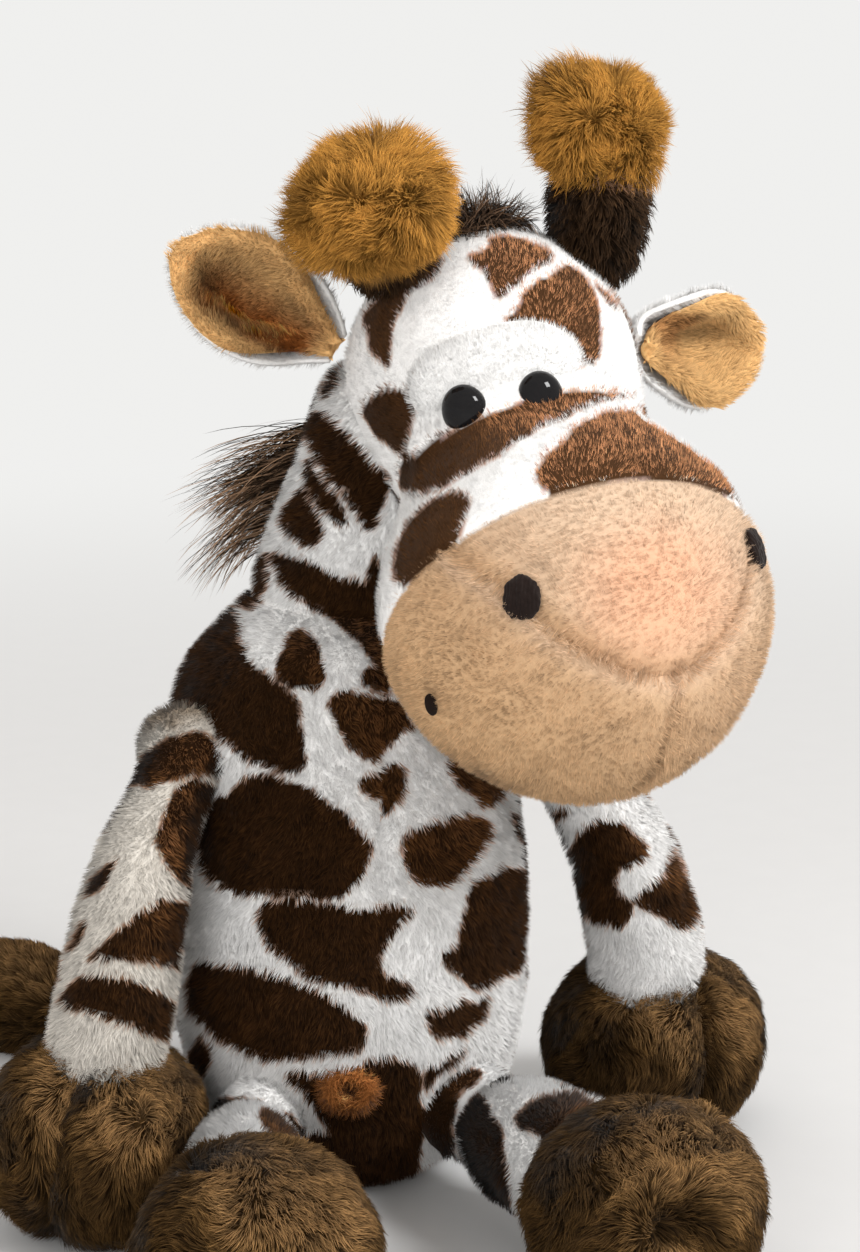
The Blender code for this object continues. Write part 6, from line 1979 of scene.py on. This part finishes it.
def lamp(name, place, size, power, mirrored=True):
    data = bpy.data.lights.new(name, "AREA")
    data.size = size
    data.energy = power
    obj = bpy.data.objects.new(name, data)
    bpy.context.scene.collection.objects.link(obj)
    obj.visible_glossy = mirrored
    obj.location = place
    obj.rotation_euler = (Vector(AIM) - Vector(place)).to_track_quat("-Z", "Y").to_euler()


def floor():
    reach = 9.0
    obj = new_mesh("studio_floor", np.array([(-reach, -reach, 0), (reach, -reach, 0), (reach, reach, 0),
                                             (-reach, reach, 0)]), [(0, 1, 2, 3)], floor_material())


def floor_material():
    material, tree, shader = base_material("studio_paper", 0.9)
    where = tree.nodes.new("ShaderNodeTexCoord")
    grain = tree.nodes.new("ShaderNodeTexNoise")
    grain.inputs["Scale"].default_value = 60
    ramp = tree.nodes.new("ShaderNodeValToRGB")
    ramp.color_ramp.elements[0].color = (0.675, 0.675, 0.675, 1)
    ramp.color_ramp.elements[1].color = (0.695, 0.695, 0.695, 1)
    tree.links.new(where.outputs["Object"], grain.inputs["Vector"])
    tree.links.new(grain.outputs["Fac"], ramp.inputs["Fac"])
    tree.links.new(ramp.outputs["Color"], shader.inputs["Base Color"])
    away = tree.nodes.new("ShaderNodeVectorMath")
    away.operation = "LENGTH"
    share = tree.nodes.new("ShaderNodeMapRange")
    share.interpolation_type = "SMOOTHSTEP"
    share.inputs["From Min"].default_value = 0.30
    share.inputs["From Max"].default_value = 1.5
    rays = tree.nodes.new("ShaderNodeLightPath")
    seen = tree.nodes.new("ShaderNodeMath")
    seen.operation = "MAXIMUM"
    clear = tree.nodes.new("ShaderNodeMath")
    clear.operation = "MAXIMUM"
    both = tree.nodes.new("ShaderNodeMath")
    both.operation = "MULTIPLY"
    glow = tree.nodes.new("ShaderNodeEmission")
    glow.inputs["Color"].default_value = BACKDROP
    glow.inputs["Strength"].default_value = 1.0
    mix = tree.nodes.new("ShaderNodeMixShader")
    tree.links.new(where.outputs["Object"], away.inputs[0])
    tree.links.new(away.outputs["Value"], share.inputs["Value"])
    tree.links.new(rays.outputs["Is Camera Ray"], seen.inputs[0])
    tree.links.new(rays.outputs["Is Glossy Ray"], seen.inputs[1])
    tree.links.new(seen.outputs["Value"], clear.inputs[0])
    tree.links.new(rays.outputs["Is Transmission Ray"], clear.inputs[1])
    tree.links.new(clear.outputs["Value"], both.inputs[0])
    tree.links.new(share.outputs["Result"], both.inputs[1])
    tree.links.new(both.outputs["Value"], mix.inputs["Fac"])
    tree.links.new(shader.outputs["BSDF"], mix.inputs[1])
    tree.links.new(glow.outputs["Emission"], mix.inputs[2])
    tree.links.new(mix.outputs["Shader"], tree.nodes["Material Output"].inputs["Surface"])
    return material


def world():
    scene = bpy.context.scene
    scene.world = bpy.data.worlds.new("studio")
    scene.world.use_nodes = True
    tree = scene.world.node_tree
    background = tree.nodes["Background"]
    background.inputs["Color"].default_value = (1, 0.97, 0.935, 1)
    background.inputs["Strength"].default_value = WORLD_LIGHT
    seen = tree.nodes.new("ShaderNodeBackground")
    seen.inputs["Color"].default_value = BACKDROP
    seen.inputs["Strength"].default_value = 1.0
    rays = tree.nodes.new("ShaderNodeLightPath")
    either = tree.nodes.new("ShaderNodeMath")
    either.operation = "MAXIMUM"
    mix = tree.nodes.new("ShaderNodeMixShader")
    tree.links.new(rays.outputs["Is Camera Ray"], either.inputs[0])
    tree.links.new(rays.outputs["Is Transmission Ray"], either.inputs[1])
    tree.links.new(either.outputs["Value"], mix.inputs["Fac"])
    tree.links.new(background.outputs["Background"], mix.inputs[1])
    tree.links.new(seen.outputs["Background"], mix.inputs[2])
    tree.links.new(mix.outputs["Shader"], tree.nodes["World Output"].inputs["Surface"])
    scene.view_settings.view_transform = "Standard"


def camera():
    data = bpy.data.cameras.new("camera")
    data.sensor_fit = "VERTICAL"
    data.sensor_height = SENSOR
    data.lens = FOCAL_PIXELS * SENSOR / FRAME_HIGH
    data.clip_start = 0.01
    data.clip_end = 40
    obj = bpy.data.objects.new("camera", data)
    bpy.context.scene.collection.objects.link(obj)
    obj.location = EYE_AT
    obj.rotation_euler = Vector(LOOK).to_track_quat("-Z", "Y").to_euler()
    bpy.context.scene.camera = obj


WORLD_LIGHT = 0.80
BACKDROP = (0.87, 0.868, 0.855, 1)
DENSE = 1.0

camera()
world()
floor()
lamp("key", (1.15, -0.85, 1.30), 0.5, 25)
lamp("fill", (-0.5, -1.7, 0.45), 1.2, 14, False)
dress_torso()
dress_navel()
dress_neck()
dress_limbs()
dress_tail()
dress_head()
dress_brow()
dress_eyes()
dress_nostrils()
dress_horn("r", -1, HORN_SPREAD_R, HORN_PITCH_R, HORN_LEAN_R, HORN_SPLAY_R)
dress_horn("l", 1, HORN_SPREAD_L, HORN_PITCH_L, HORN_LEAN_L, HORN_SPLAY_L)
dress_ear("r", -1, EAR_LATITUDE_R, EAR_RISE_R, EAR_SWEEP_R)
dress_ear("l", 1, EAR_LATITUDE_L, EAR_RISE_L, EAR_SWEEP_L)
dress_hair()
